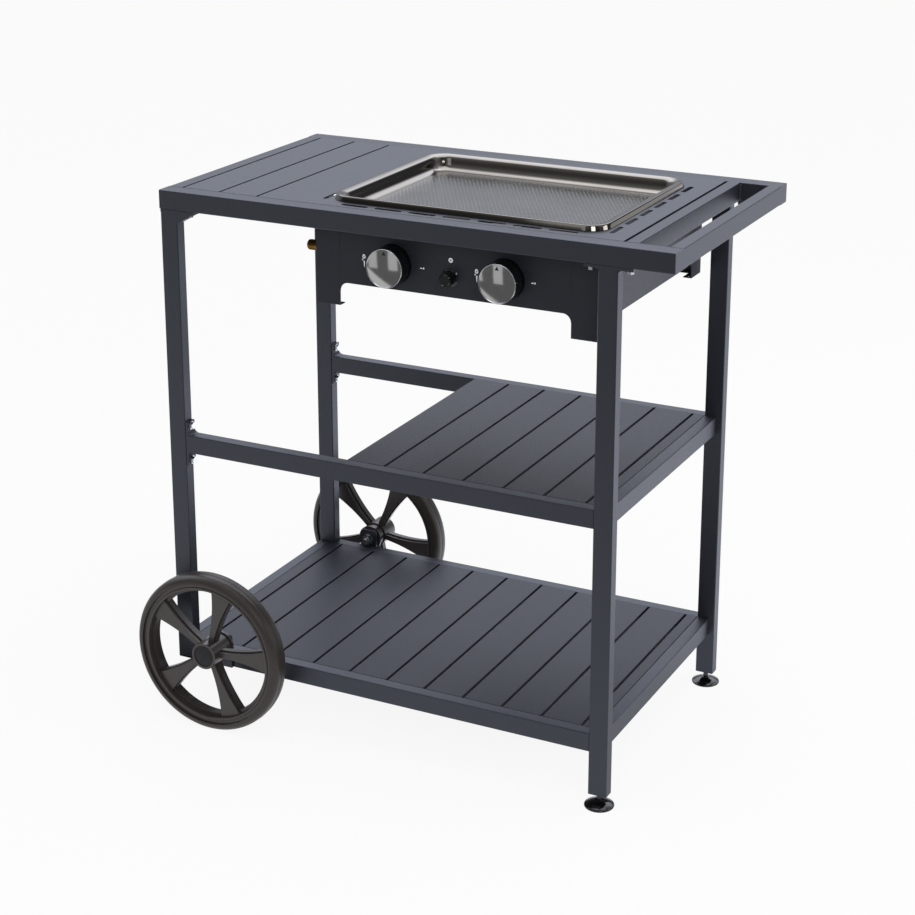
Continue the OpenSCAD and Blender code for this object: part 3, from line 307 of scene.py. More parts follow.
# %% Stainless steel
def stainless(name, tone, rough, line_mm, depth):
    material, tree, place = blank(name)
    level = add(tree, "ShaderNodeSeparateXYZ", links={0: place}).outputs["Z"]
    lines = add(tree, "ShaderNodeTexNoise", {"W": 0, "Scale": 1 / (line_mm * MM), "Detail": 2},
                {"W": level}, noise_dimensions="1D").outputs[0]
    smear = add(tree, "ShaderNodeTexNoise", {"Scale": 1 / (60 * MM), "Detail": 3},
                {"Vector": place}).outputs[0]
    shade = add(tree, "ShaderNodeMix", {"A": paint(tone), "B": [0.82 * v for v in paint(tone)[:3]] + [1]},
                {"Factor": smear}, data_type="RGBA")
    polish = add(tree, "ShaderNodeMapRange", {"To Min": rough * 0.7, "To Max": rough * 1.3},
                 {"Value": smear}).outputs[0]
    drawn = add(tree, "ShaderNodeBump", {"Strength": 0.3, "Distance": depth * MM}, {"Height": lines})
    close(tree, add(tree, "ShaderNodeBsdfPrincipled", {"Metallic": 1}, {
        "Base Color": shade.outputs["Result"], "Roughness": polish, "Normal": drawn.outputs[0]}))
    return material


polished = stainless("mirror polished stainless", "#85817B", 0.1, 0.6, 0.004)
satin = stainless("satin stainless", "#8A8B8B", 0.2, 0.6, 0.004)
print("stainless:", polished.name, satin.name)

# %% [markdown]
# Each knob has a cap in dark chrome, spun from thin sheet and polished, so its lines run in
# circles round its own middle. They are drawn 0.5 mm apart and very shallow, which only softens
# what the cap mirrors.

# %% Chrome of the knobs
KNOBS = {side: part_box("knob_" + side) for side in ("left", "right")}


def spun_chrome(side):
    low, high = KNOBS[side]
    material, tree, place = blank("spun chrome, " + side + " knob")
    off_axis = add(tree, "ShaderNodeMapping", {"Location": [-(a + b) / 2 for a, b in zip(low, high)],
                                               "Scale": (1, 0, 1)}, {"Vector": place})
    radius = add(tree, "ShaderNodeVectorMath", links={0: off_axis.outputs[0]},
                 operation="LENGTH").outputs["Value"]
    lines = add(tree, "ShaderNodeTexNoise", {"Scale": 1 / (0.5 * MM), "Detail": 1}, {"W": radius},
                noise_dimensions="1D").outputs[0]
    cloud = add(tree, "ShaderNodeTexNoise", {"Scale": 1 / (14 * MM), "Detail": 2},
                {"Vector": place}).outputs[0]
    polish = add(tree, "ShaderNodeMapRange", {"To Min": 0.05, "To Max": 0.1}, {"Value": cloud}).outputs[0]
    tone = add(tree, "ShaderNodeMix", {"A": paint("#A3A4A4"), "B": paint("#AFAFAE")}, {"Factor": cloud},
               data_type="RGBA").outputs["Result"]
    spun = add(tree, "ShaderNodeBump", {"Strength": 0.2, "Distance": 0.004 * MM}, {"Height": lines})
    close(tree, add(tree, "ShaderNodeBsdfPrincipled", {"Metallic": 1}, {
        "Base Color": tone, "Roughness": polish, "Normal": spun.outputs[0]}))
    return material


chrome = {side: spun_chrome(side) for side in KNOBS}
print("knobs are", round((KNOBS["left"][1].x - KNOBS["left"][0].x) / MM, 1), "mm across")

# %% [markdown]
# The wheels are injection moulded from glass-filled polypropylene in a brown black, with a solid
# tyre of softer stuff in nearly the same tone. The mould was etched, so both have a fine grain
# under a soft gloss. Their hub caps are another batch, and look bluer. The plugs, bezels and
# igniter are ABS, and the feet are a shiny hard plastic.

# %% Plastics
def moulding(name, tone, rough, grain_mm, grain_deep, gloss=0.5):
    material, tree, place = blank(name)
    etch = add(tree, "ShaderNodeTexNoise", {"Scale": 1 / (grain_mm * MM), "Detail": 2},
               {"Vector": place}).outputs[0]
    flow = add(tree, "ShaderNodeTexNoise", {"Scale": 1 / (45 * MM), "Detail": 3, "Distortion": 0.8},
               {"Vector": place}).outputs[0]
    shade = add(tree, "ShaderNodeMix", {"A": [0.85 * v for v in paint(tone)[:3]] + [1],
                                        "B": [1.15 * v for v in paint(tone)[:3]] + [1]},
                {"Factor": flow}, data_type="RGBA")
    sheen = add(tree, "ShaderNodeMapRange", {"To Min": rough - 0.06, "To Max": rough + 0.06},
                {"Value": etch}).outputs[0]
    grain = add(tree, "ShaderNodeBump", {"Strength": 0.3, "Distance": grain_deep * MM}, {"Height": etch})
    close(tree, add(tree, "ShaderNodeBsdfPrincipled", {"IOR": 1.5, "Specular IOR Level": gloss}, {
        "Base Color": shade.outputs["Result"], "Roughness": sheen, "Normal": grain.outputs[0]}))
    return material


wheel_moulding = moulding("etched polypropylene", "#383332", 0.3, 1.2, 0.05, 0.5)
tyre_moulding = moulding("solid tyre rubber", "#332E2B", 0.42, 1.0, 0.06, 0.4)
cap_moulding = moulding("blue black cap", "#15171C", 0.45, 1.2, 0.04, 0.3)
black_moulding = moulding("black ABS", "#0F1012", 0.15, 1.0, 0.008)
foot_moulding = moulding("shiny black foot", "#0D0D0F", 0.12, 1.5, 0.01)
glazed = moulding("glazed ceramic", "#E3DED2", 0.15, 2.0, 0.01)
ink = moulding("white screen print", "#E8ECF2", 0.55, 0.8, 0.01)
black_ink = moulding("black screen print", "#0B0B0C", 0.5, 0.8, 0.01)
print("plastics:", wheel_moulding.name, "and seven more")

# %% [markdown]
# The record names one material slot for each node. Each slot gets the finish above that the real
# part has, so that every node of the model is dressed in one loop.

# %% Dress the CAD nodes
FINISH = {"frame_paint": frame_coat, "slat_paint": slat_coat_painted_light, "housing_paint": housing_coat,
          "zinc_steel": zinc, "plain_steel": sheet_steel, "brass": brass,
          "tray_steel": polished, "knob_chrome": black_moulding,
          "wheel_plastic": wheel_moulding, "tyre_rubber": tyre_moulding, "cap_plastic": cap_moulding,
          "black_plastic": black_moulding, "foot_plastic": foot_moulding, "ceramic": glazed}
for part in frame["record"]["subparts"]:
    node = frame["nodes"][part["node"]]
    node.data.materials.clear()
    # The mid and low shelves take the weak-gloss copy of the paint, whose darker look is painted shade.
    on_shelf = part["material_slot"] == "slat_paint" and part["node"].startswith(("mid_", "low_"))
    node.data.materials.append(shelf_coat_painted_shade if on_shelf else FINISH[part["material_slot"]])

# %% [markdown]
# New pieces are modelled as by hand: a primitive is added, shaped in edit mode and finished with
# modifiers. A few helpers keep that short. One adds a primitive with nothing else selected, one
# selects parts of the mesh by where they are, and one gives the finished piece its name, its
# material and the body that it moves with.

# %% Helpers for modelling
def begin(maker, **how):
    """Add one primitive, alone selected, with its place kept in its mesh"""
    if bpy.context.mode != "OBJECT":
        bpy.ops.object.mode_set(mode="OBJECT")
    bpy.ops.object.select_all(action="DESELECT")
    maker(**how)
    bpy.ops.object.transform_apply(location=True, rotation=True, scale=True)
    return bpy.context.object


def pick(kind, test):
    """In edit mode, select the vertices, edges or faces whose points all pass a test"""
    bpy.ops.mesh.select_mode(type=kind)
    bpy.ops.mesh.select_all(action="DESELECT")
    shell = bmesh.from_edit_mesh(bpy.context.object.data)
    for item in {"VERT": shell.verts, "EDGE": shell.edges, "FACE": shell.faces}[kind]:
        if all(test(v.co) for v in ([item] if kind == "VERT" else item.verts)):
            item.select_set(True)
    shell.select_flush_mode()
    bmesh.update_edit_mesh(bpy.context.object.data)


def join(pieces):
    """Merge separate objects into the first"""
    bpy.ops.object.select_all(action="DESELECT")
    for piece in pieces:
        piece.select_set(True)
    bpy.context.view_layer.objects.active = pieces[0]
    bpy.ops.object.join()
    return pieces[0]


def apply_all(piece):
    bpy.context.view_layer.objects.active = piece
    for modifier in list(piece.modifiers):
        bpy.ops.object.modifier_apply(modifier=modifier.name)


def finish_piece(piece, name, slot, body, *materials):
    piece.name = name
    for material in materials:
        piece.data.materials.append(material)
    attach(piece, body)
    print(name, "has", sum(len(f.vertices) - 2 for f in piece.data.polygons), "triangles")


# %% [markdown]
# The griddle tray has a flared lip, a flange that slopes inwards, a steep wall and a wide cove
# that runs into the floor. A section like that could be drawn once and swept, but the corners get
# tighter on the way in, so the tray is made of rings: each one is a plane with its corners rounded
# by a vertex bevel, and each is bridged to the next. The section's points are (inwards, down) from
# the rim in mm, and its corners are cut twice, which rounds them.

# %% Tray section
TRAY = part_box("griddle_tray")
TRAY_L, TRAY_D = (TRAY[1].x - TRAY[0].x) / MM, (TRAY[1].y - TRAY[0].y) / MM
TRAY_TOP = TRAY[1].z
CORNER, RUN, DEEP, LIP, SHEET = 34, 35, 25, 8.3, 1.5
corner_points = [(0, LIP), (2, 1.4), (3.2, 0), (12.1, 1.8), (14.7, 3.6), (16.4, 7.8), (18.9, 15.5),
                 (21, 19.5), (24.5, 22.5), (29.4, 24.5), (RUN, DEEP)]


def cut_corners(line):
    """Replace each inner corner by two points, a quarter of the way along each side"""
    out = [line[0]]
    for (ax, ay), (bx, by) in zip(line, line[1:]):
        out += [(0.75 * ax + 0.25 * bx, 0.75 * ay + 0.25 * by),
                (0.25 * ax + 0.75 * bx, 0.25 * ay + 0.75 * by)]
    return out[:1] + out[2:-1] + [line[-1]]


section = cut_corners(cut_corners(corner_points))
print("section has", len(section), "points, down to", section[-1][1], "mm")


# %% Tray rings and walls
def tray_ring(inset, drop, keep_face=False):
    """Rounded rectangle, inset from the rim and below it"""
    centre = (TRAY[0] + TRAY[1]) / 2
    ring = begin(bpy.ops.mesh.primitive_plane_add, size=1, location=(0, 0, 0))
    bpy.ops.object.mode_set(mode="EDIT")
    bpy.ops.mesh.select_all(action="SELECT")
    bpy.ops.transform.resize(value=((TRAY_L - 2 * inset) * MM, (TRAY_D - 2 * inset) * MM, 1))
    bpy.ops.mesh.bevel(offset=(CORNER - 0.52 * inset) * MM, segments=9, profile=0.5, affect="VERTICES")
    bpy.ops.mesh.select_all(action="SELECT")
    bpy.ops.transform.translate(value=(centre.x, centre.y, TRAY_TOP - drop * MM))
    if not keep_face:
        bpy.ops.mesh.delete(type="ONLY_FACE")
    bpy.ops.object.mode_set(mode="OBJECT")
    return ring


bands = []
for near, far in zip(section, section[1:]):
    band = join([tray_ring(*near), tray_ring(*far)])
    bpy.ops.object.mode_set(mode="EDIT")
    bpy.ops.mesh.select_all(action="SELECT")
    bpy.ops.mesh.bridge_edge_loops()
    bands.append(band)
    bpy.ops.object.mode_set(mode="OBJECT")
tray = join(bands + [tray_ring(*section[-1], keep_face=True)])
bpy.ops.object.mode_set(mode="EDIT")
bpy.ops.mesh.select_all(action="SELECT")
bpy.ops.mesh.remove_doubles(threshold=0.02 * MM)
bpy.ops.mesh.normals_make_consistent(inside=False)
bpy.ops.object.mode_set(mode="OBJECT")
floor_face = max(tray.data.polygons, key=lambda f: f.area)
if floor_face.normal.z < 0:
    bpy.ops.object.mode_set(mode="EDIT")
    bpy.ops.mesh.flip_normals()
    bpy.ops.object.mode_set(mode="OBJECT")
print("tray sheet has", len(tray.data.polygons), "faces")

# %% [markdown]
# The sheet round the griddle is cut from one blank and folded down at both ends. Its opening and
# its ring of vent slots are punched last, as in a press: each row of punches is one bar with round
# ends, repeated by an Array modifier, and Boolean modifiers take them out of the sheet. The rows
# at the sides start a little further forward, and lie a fifth of the way from the tray to the
# folded end.

# %% Hob sheet
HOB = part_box("hob_frame")
TRAY_MIDDLE = (TRAY[0] + TRAY[1]) / 2
SLOT_W, SLOT_PITCH, OPENING_COVER = 8, 56.7, 10
FRONT_COUNT, FRONT_LONG, FRONT_OFF = 7, 45, 13
SIDE_COUNT, SIDE_LONG, SIDE_FORWARD, SIDE_SHARE = 6, 41, 5.3, 0.21


def punch(x, y, size_x, size_y, corner, count=1, step=(0, 0, 0)):
    """Bar with rounded corners that goes right through the sheet, repeated in a row, in mm"""
    bar = begin(bpy.ops.mesh.primitive_plane_add, size=1)
    bpy.ops.object.mode_set(mode="EDIT")
    bpy.ops.mesh.select_all(action="SELECT")
    bpy.ops.transform.resize(value=(size_x * MM, size_y * MM, 1))
    bpy.ops.mesh.bevel(offset=corner * MM, segments=7, affect="VERTICES")
    bpy.ops.mesh.select_all(action="SELECT")
    bpy.ops.transform.translate(value=(TRAY_MIDDLE.x + x * MM, TRAY_MIDDLE.y + y * MM, HOB[1].z - 4 * MM))
    bpy.ops.mesh.extrude_region_move(TRANSFORM_OT_translate={"value": (0, 0, 8 * MM)})
    bpy.ops.mesh.select_all(action="SELECT")
    bpy.ops.mesh.normals_make_consistent(inside=False)
    bpy.ops.object.mode_set(mode="OBJECT")
    row = bar.modifiers.new("row", "ARRAY")
    row.count, row.use_relative_offset, row.use_constant_offset = count, False, True
    row.constant_offset_displace = [v * MM for v in step]
    apply_all(bar)
    return bar


hob = begin(bpy.ops.mesh.primitive_plane_add, size=1)
bpy.ops.object.mode_set(mode="EDIT")
bpy.ops.mesh.select_all(action="SELECT")
bpy.ops.transform.resize(value=(HOB[1].x - HOB[0].x, HOB[1].y - HOB[0].y, 1))
bpy.ops.transform.translate(value=((HOB[0].x + HOB[1].x) / 2, (HOB[0].y + HOB[1].y) / 2, HOB[1].z))
for end in (HOB[0].x, HOB[1].x):
    pick("EDGE", lambda p: abs(p.x - end) < 0.1 * MM)
    bpy.ops.mesh.extrude_region_move(TRANSFORM_OT_translate={"value": (0, 0, HOB[0].z - HOB[1].z)})
bpy.ops.object.mode_set(mode="OBJECT")
fold = hob.modifiers.new("sheet", "SOLIDIFY")
fold.thickness, fold.offset, fold.use_even_offset = SHEET * MM, -1, True
aside = TRAY_L / 2 + SIDE_SHARE * ((HOB[1].x - HOB[0].x) / MM - TRAY_L) / 2
rows = [punch(0, 0, TRAY_L - 2 * OPENING_COVER, TRAY_D - 2 * OPENING_COVER, CORNER - OPENING_COVER)]
rows += [punch(-(FRONT_COUNT - 1) / 2 * SLOT_PITCH, y, FRONT_LONG, SLOT_W, 0.49 * SLOT_W, FRONT_COUNT,
               (SLOT_PITCH, 0, 0)) for y in (-TRAY_D / 2 - FRONT_OFF, TRAY_D / 2 + FRONT_OFF)]
rows += [punch(x, -SIDE_FORWARD - (SIDE_COUNT - 1) / 2 * SLOT_PITCH, SLOT_W, SIDE_LONG, 0.49 * SLOT_W,
               SIDE_COUNT, (0, SLOT_PITCH, 0)) for x in (-aside, aside)]
for row in rows:
    press = hob.modifiers.new("press", "BOOLEAN")
    press.operation, press.solver, press.object = "DIFFERENCE", "EXACT", row
apply_all(hob)
for row in rows:
    bpy.data.objects.remove(row)
finish_piece(hob, "hob_sheet", "slat_paint", "frame", slat_coat_painted_light)
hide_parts("hob_frame")

# %% [markdown]
# Solidify gives the tray its 1.5 mm, downwards, so that the inner face stays where it was drawn.
# The floor's face takes the satin finish, and all the rest is polished.

# %% Tray thickness and finish
bpy.context.view_layer.objects.active = tray
wall = tray.modifiers.new("sheet", "SOLIDIFY")
wall.thickness, wall.offset = SHEET * MM, -1
apply_all(tray)
bpy.ops.object.select_all(action="DESELECT")
tray.select_set(True)
bpy.ops.object.shade_smooth_by_angle(angle=math.radians(50))
finish_piece(tray, "griddle_plate", "tray_steel", "griddle", polished, satin)
for face in tray.data.polygons:
    face.material_index = 1 if len(face.vertices) > 4 else 0
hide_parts("griddle_tray")

# %% [markdown]
# The floor is embossed with small low bumps, 6.9 mm apart in a honeycomb. One cell is a hexagon,
# inset once flat and once upwards, whose middle is poked, and smooth shading rounds it. Two cells
# make a unit that repeats on a rectangle, so two Array modifiers fill the floor. Then the sheet is
# trimmed to the floor's outline, with three cuts at each corner for the round.

# %% Dimpled floor
PITCH = 6.9 * MM
row_step = PITCH * math.sqrt(3) / 2
floor_low, floor_high = TRAY[0] + Vector((RUN, RUN, 0)) * MM, TRAY[1] - Vector((RUN, RUN, 0)) * MM
floor_z = TRAY_TOP - DEEP * MM + 0.04 * MM
cells = []
for step in (0, 1):
    cell = begin(bpy.ops.mesh.primitive_circle_add, vertices=6, radius=PITCH / math.sqrt(3), fill_type="NGON",
                 location=(0, 0, 0))
    bpy.ops.object.mode_set(mode="EDIT")
    bpy.ops.mesh.select_all(action="SELECT")
    bpy.ops.transform.translate(value=(
        floor_low.x + step * PITCH / 2, floor_low.y + step * row_step, floor_z))
    bpy.ops.mesh.inset(thickness=1.5 * MM, depth=0)
    bpy.ops.mesh.inset(thickness=0.9 * MM, depth=0.13 * MM)
    bpy.ops.mesh.poke(offset=0.04 * MM)
    bpy.ops.object.mode_set(mode="OBJECT")
    cells.append(cell)
dimples = join(cells)
columns = math.ceil((floor_high.x - floor_low.x) / PITCH) + 2
rows = math.ceil((floor_high.y - floor_low.y) / (2 * row_step)) + 1
for count, step in ((columns, (PITCH, 0, 0)), (rows, (0, 2 * row_step, 0))):
    repeat = dimples.modifiers.new("repeat", "ARRAY")
    repeat.count, repeat.use_relative_offset, repeat.use_constant_offset = count, False, True
    repeat.constant_offset_displace = step
    repeat.use_merge_vertices, repeat.merge_threshold = True, 0.02 * MM
apply_all(dimples)
print("floor has", 2 * columns * rows, "dimples before it is trimmed")

# %% Trim the dimpled floor
bpy.ops.object.mode_set(mode="EDIT")
bpy.ops.mesh.select_all(action="SELECT")
bpy.ops.mesh.remove_doubles(threshold=0.02 * MM)
floor_corner = (CORNER - 0.52 * RUN) * MM
cuts = [((0, floor_low.y, 0), 270), ((0, floor_high.y, 0), 90),
        ((floor_low.x, 0, 0), 180), ((floor_high.x, 0, 0), 0)]
for sx, sy in ((1, 1), (-1, 1), (-1, -1), (1, -1)):
    turn_x = (floor_high.x if sx > 0 else floor_low.x) - sx * floor_corner
    turn_y = (floor_high.y if sy > 0 else floor_low.y) - sy * floor_corner
    for angle in (22.5, 45, 67.5):
        way = Vector((sx * math.cos(math.radians(angle)), sy * math.sin(math.radians(angle)), 0))
        cuts.append(((turn_x + way.x * floor_corner, turn_y + way.y * floor_corner, 0),
                     math.degrees(math.atan2(way.y, way.x))))
for point, angle in cuts:
    bpy.ops.mesh.select_all(action="SELECT")
    outwards = (math.cos(math.radians(angle)), math.sin(math.radians(angle)), 0)
    bpy.ops.mesh.bisect(plane_co=point, plane_no=outwards, clear_outer=True)
bpy.ops.mesh.select_all(action="DESELECT")
bpy.ops.mesh.select_mode(type="EDGE")
bpy.ops.mesh.select_non_manifold()
bpy.ops.mesh.extrude_region_move(TRANSFORM_OT_translate={"value": (0, 0, -0.3 * MM)})
bpy.ops.mesh.edge_face_add()
bpy.ops.object.mode_set(mode="OBJECT")
bpy.ops.object.select_all(action="DESELECT")
dimples.select_set(True)
bpy.ops.object.shade_smooth_by_angle(angle=math.radians(60))
finish_piece(dimples, "griddle_dimples", "tray_steel", "griddle", satin)

# %% [markdown]
# What is turned on a lathe is drawn here as a lathe would cut it: a chain of edges beside the
# axis, each extruded from the last, is spun all the way round. A knob is a hollow black moulding
# with a thin chromed cap pressed over its front. The cap is slightly domed, which is why it
# mirrors so much of the studio, and its edge is rolled back over the moulding and burnished
# bright. Behind, the hub has the bore that slides on the stem. Points are (depth, radius) in mm.

# %% Lathe and knobs
def turned(place, along, outline, steps):
    """Spin a line of (distance along the axis, radius) points, in mm, about an axis through a place"""
    piece = begin(bpy.ops.mesh.primitive_plane_add, size=1)
    bpy.ops.object.mode_set(mode="EDIT")
    pick("VERT", lambda p: p.x < 0 or p.y < 0)
    bpy.ops.mesh.delete(type="VERT")
    bpy.ops.mesh.select_all(action="SELECT")
    spots = [Vector(place) + Vector(along) * (a * MM) + Vector((0, 0, r * MM)) for a, r in outline]
    bpy.ops.transform.translate(value=spots[0] - Vector((0.5, 0.5, 0)))
    for near, far in zip(spots, spots[1:]):
        bpy.ops.mesh.extrude_region_move(TRANSFORM_OT_translate={"value": far - near})
    bpy.ops.mesh.select_all(action="SELECT")
    bpy.ops.mesh.spin(steps=steps, angle=2 * math.pi, center=place, axis=along)
    bpy.ops.mesh.select_all(action="SELECT")
    bpy.ops.mesh.remove_doubles(threshold=0.01 * MM)
    bpy.ops.mesh.normals_make_consistent(inside=False)
    bpy.ops.object.mode_set(mode="OBJECT")
    return piece


CAP_R, CAP_RISE, CAP_BACK = 28.3, 1.7, 2.9


def cap_depth(r):
    """How far the domed cap lies behind its own middle at a radius, in mm"""
    return CAP_RISE * (r / CAP_R) ** 2


dome = [(cap_depth(r), r) for r in (0, 3, 6, 9, 12, 15, 18, 21, 24, 26.5, CAP_R)]
rolled_edge = [(1.35, 28.6), (0.75, 28.95), (0.7, 29.4), (1.15, 29.8), (1.9, 30), (CAP_BACK, 29.95),
               (CAP_BACK, 29.4)]
skirt = [(3.3, 29.4), (3.6, 29.9), (23.2, 30), (24.4, 29.8), (25, 29.2), (25, 27.3), (24.5, 27.2), (5, 27.2)]
hub = [(5, 8), (22.3, 8), (22.3, 4.2), (7.7, 4.2), (7.7, 0)]
for side, (low, high) in KNOBS.items():
    middle = ((low.x + high.x) / 2, low.y, (low.z + high.z) / 2)
    knob = turned(middle, (0, 1, 0), dome + rolled_edge + skirt + hub, 72)
    bpy.ops.object.shade_smooth_by_angle(angle=math.radians(40))
    finish_piece(knob, "knob_spun_" + side, "knob_chrome", side + "_knob", black_moulding, chrome[side], zinc)
    for face in knob.data.polygons:
        radius = math.hypot(face.center.x - middle[0], face.center.z - middle[2]) / MM
        on_cap = face.center.y <= low.y + (CAP_BACK + 0.1) * MM
        face.material_index = 0 if not on_cap else 1 if radius < CAP_R else 2
    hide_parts("knob_" + side)

# %% [markdown]
# A small black arrow near the cap's upper edge shows where the knob stands. It is printed, so it
# stands hardly proud: a three-sided circle, stood up against the cap, leaned back with the dome
# and made slightly thick.

# %% Arrows on the knobs
ARROW_UP, ARROW_R = 22.2, 3.7
lean = 2 * CAP_RISE * ARROW_UP / CAP_R ** 2
for side, (low, high) in KNOBS.items():
    middle = Vector(((low.x + high.x) / 2, low.y, (low.z + high.z) / 2 + ARROW_UP * MM))
    on_dome = middle + Vector((0, (cap_depth(ARROW_UP) - 0.15) * MM, 0))
    arrow = begin(bpy.ops.mesh.primitive_circle_add, vertices=3, radius=ARROW_R * MM, fill_type="NGON",
                  rotation=(math.radians(90), 0, 0), location=on_dome)
    bpy.ops.object.mode_set(mode="EDIT")
    for end in (1, -0.5):
        pick("VERT", lambda p: (p.z - middle.z) * end > 0)
        bpy.ops.transform.translate(value=(0, end * ARROW_R * lean * MM, 0))
    bpy.ops.mesh.select_all(action="SELECT")
    bpy.ops.mesh.bevel(offset=0.3 * MM, segments=2, affect="VERTICES")
    bpy.ops.mesh.extrude_region_move(TRANSFORM_OT_translate={"value": (0, 0.4 * MM, 0)})
    bpy.ops.mesh.select_all(action="SELECT")
    bpy.ops.mesh.normals_make_consistent(inside=False)
    bpy.ops.object.mode_set(mode="OBJECT")
    finish_piece(arrow, "knob_arrow_" + side, "black_plastic", side + "_knob", black_ink)

# %% [markdown]
# The panel is printed with plain signs: at the left of each knob a flame with a drop and a
# tapered stroke below it for high, at its right a short dash with a dot for low, and a ringed
# spark above the igniter. A flame is a circle whose top vertex is pulled up and aside, and which
# is inset and emptied. A print has next to no thickness.

# %% Printed signs
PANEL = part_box("control_panel")[0].y


def print_on_panel(x, z, shape, name):
    """Lay a flat shape, drawn about the origin in X and Z, on the panel and give it ink"""
    bpy.ops.object.mode_set(mode="EDIT")
    bpy.ops.mesh.select_all(action="SELECT")
    bpy.ops.transform.translate(value=(x, PANEL - 0.12 * MM, z))
    bpy.ops.mesh.extrude_region_move(TRANSFORM_OT_translate={"value": (0, 0.2 * MM, 0)})
    bpy.ops.mesh.select_all(action="SELECT")
    bpy.ops.mesh.normals_make_consistent(inside=False)
    bpy.ops.object.mode_set(mode="OBJECT")
    finish_piece(shape, name, "black_plastic", "frame", ink)


def blob(radius, pull=0, hole=0):
    """Round spot, with its top pulled to a tip and its middle emptied where asked"""
    spot = begin(bpy.ops.mesh.primitive_circle_add, vertices=20, radius=radius, fill_type="NGON",
                 rotation=(math.radians(90), 0, 0))
    bpy.ops.object.mode_set(mode="EDIT")
    for reach, part in ((0.55, 0.2), (0.8, 0.3), (0.96, 0.5)):
        pick("VERT", lambda p: p.z > reach * radius)
        bpy.ops.transform.translate(value=(-0.2 * part * pull, 0, part * pull))
    if hole:
        pick("FACE", lambda p: True)
        bpy.ops.mesh.inset(thickness=radius - hole, depth=0)
        bpy.ops.mesh.delete(type="FACE")
    bpy.ops.object.mode_set(mode="OBJECT")
    return spot


def stroke(wide, high, foot):
    """Upright stroke with rounded corners, whose lower end is as wide as asked"""
    bar = begin(bpy.ops.mesh.primitive_plane_add, size=1, rotation=(math.radians(90), 0, 0))
    bpy.ops.object.mode_set(mode="EDIT")
    bpy.ops.mesh.select_all(action="SELECT")
    bpy.ops.transform.resize(value=(wide, 1, high))
    pick("VERT", lambda p: p.z < 0)
    bpy.ops.transform.resize(value=(foot / wide, 1, 1), center_override=(0.2 * wide, 0, 0))
    bpy.ops.mesh.select_all(action="SELECT")
    bpy.ops.mesh.bevel(offset=0.3 * min(foot, high), segments=3, affect="VERTICES")
    bpy.ops.object.mode_set(mode="OBJECT")
    return bar


for side, flame_x, dash_x in (("left", -49.3, 48.5), ("right", -46.4, 44.5)):
    knob_x, knob_z = [sum(pair) / 2 for pair in list(zip(*KNOBS[side]))[::2]]
    x, z = knob_x + flame_x * MM, knob_z + 5.3 * MM
    print_on_panel(x, z, blob(2.7 * MM, 1.4 * MM, 1.1 * MM), "flame_high_" + side)
    print_on_panel(x - 2.4 * MM, z - 4.3 * MM, blob(1.1 * MM), "flame_drop_" + side)
    print_on_panel(x + 0.2 * MM, z - 10.8 * MM, stroke(2.4 * MM, 9.6 * MM, 0.8 * MM), "flame_taper_" + side)
    x, z = knob_x + dash_x * MM, knob_z - 0.6 * MM
    print_on_panel(x - 1.7 * MM, z, stroke(3.6 * MM, 1.5 * MM, 3.2 * MM), "dash_low_" + side)
    print_on_panel(x + 2.3 * MM, z, blob(1.2 * MM, 0.5 * MM), "flame_low_" + side)

# %% The spark sign
button_low, button_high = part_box("igniter_button")
spark_x = (button_low.x + button_high.x) / 2 + 1.5 * MM
spark_z = (button_low.z + button_high.z) / 2 + 26.5 * MM
print_on_panel(spark_x, spark_z, blob(3.6 * MM, 0, 1.7 * MM), "spark_ring")
star = begin(bpy.ops.mesh.primitive_circle_add, vertices=8, radius=1.1 * MM, fill_type="NGON",
             rotation=(math.radians(90), 0, 0))
bpy.ops.object.mode_set(mode="EDIT")
for quarter in range(4):
    way = Vector((math.cos(math.radians(90 * quarter)), 0, math.sin(math.radians(90 * quarter))))
    pick("VERT", lambda p: p.normalized().dot(way) > 0.98)
    bpy.ops.transform.translate(value=-0.75 * MM * way)
bpy.ops.object.mode_set(mode="OBJECT")
print_on_panel(spark_x, spark_z, star, "spark_star")

# %% [markdown]
# The cross tube is welded into the top rails, and the paint doesn't hide the bead. It shows as a
# lumpy strip in the corner of the handle opening. A bead is a row of overlapping puddles: a
# circle is extruded upwards step by step, each second ring is swollen and pushed aside a little,
# and a Subdivision Surface lets the whole flow together.

# %% Weld beads beside the handle opening
TUBE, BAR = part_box("cross_tube"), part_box("handle_bar")
PUDDLES = 22
bead_low, bead_high = TUBE[0].z + 1.5 * MM, TUBE[1].z - 2.5 * MM
rise = (bead_high - bead_low) / PUDDLES
WIDE, NARROW = 2.6 * MM, 1.6 * MM
for name, x, y, girth in (
        ("front_inner", TUBE[1].x, TUBE[0].y, WIDE), ("back_inner", TUBE[1].x, TUBE[1].y, WIDE),
        ("front_outer", BAR[0].x, BAR[0].y, NARROW), ("back_outer", BAR[0].x, BAR[1].y, NARROW)):
    bead = begin(bpy.ops.mesh.primitive_circle_add, vertices=12, radius=0.5 * girth, fill_type="NGON",
                 location=(x, y, bead_low))
    bpy.ops.object.mode_set(mode="EDIT")
    bpy.ops.mesh.select_all(action="SELECT")
    size = 0.5
    for i in range(1, PUDDLES + 1):
        swell = 1.16 + 0.1 * math.sin(2.3 * i) if i % 2 else 0.88 + 0.06 * math.sin(1.7 * i)
        swell = 0.5 if i == PUDDLES else swell
        aside = (0.1 * girth * math.sin(1.9 * i), 0.1 * girth * math.cos(2.7 * i), rise)
        bpy.ops.mesh.extrude_region_move(TRANSFORM_OT_translate={"value": aside})
        bpy.ops.transform.resize(value=(swell / size, swell / size, 1),
                                 center_override=(x, y, bead_low + i * rise))
        size = swell
    bpy.ops.mesh.select_all(action="SELECT")
    bpy.ops.mesh.normals_make_consistent(inside=False)
    bpy.ops.object.mode_set(mode="OBJECT")
    bead.modifiers.new("flow", "SUBSURF").levels = 1
    apply_all(bead)
    bpy.ops.object.shade_smooth()
    finish_piece(bead, "weld_bead_" + name, "frame_paint", "frame", frame_coat)

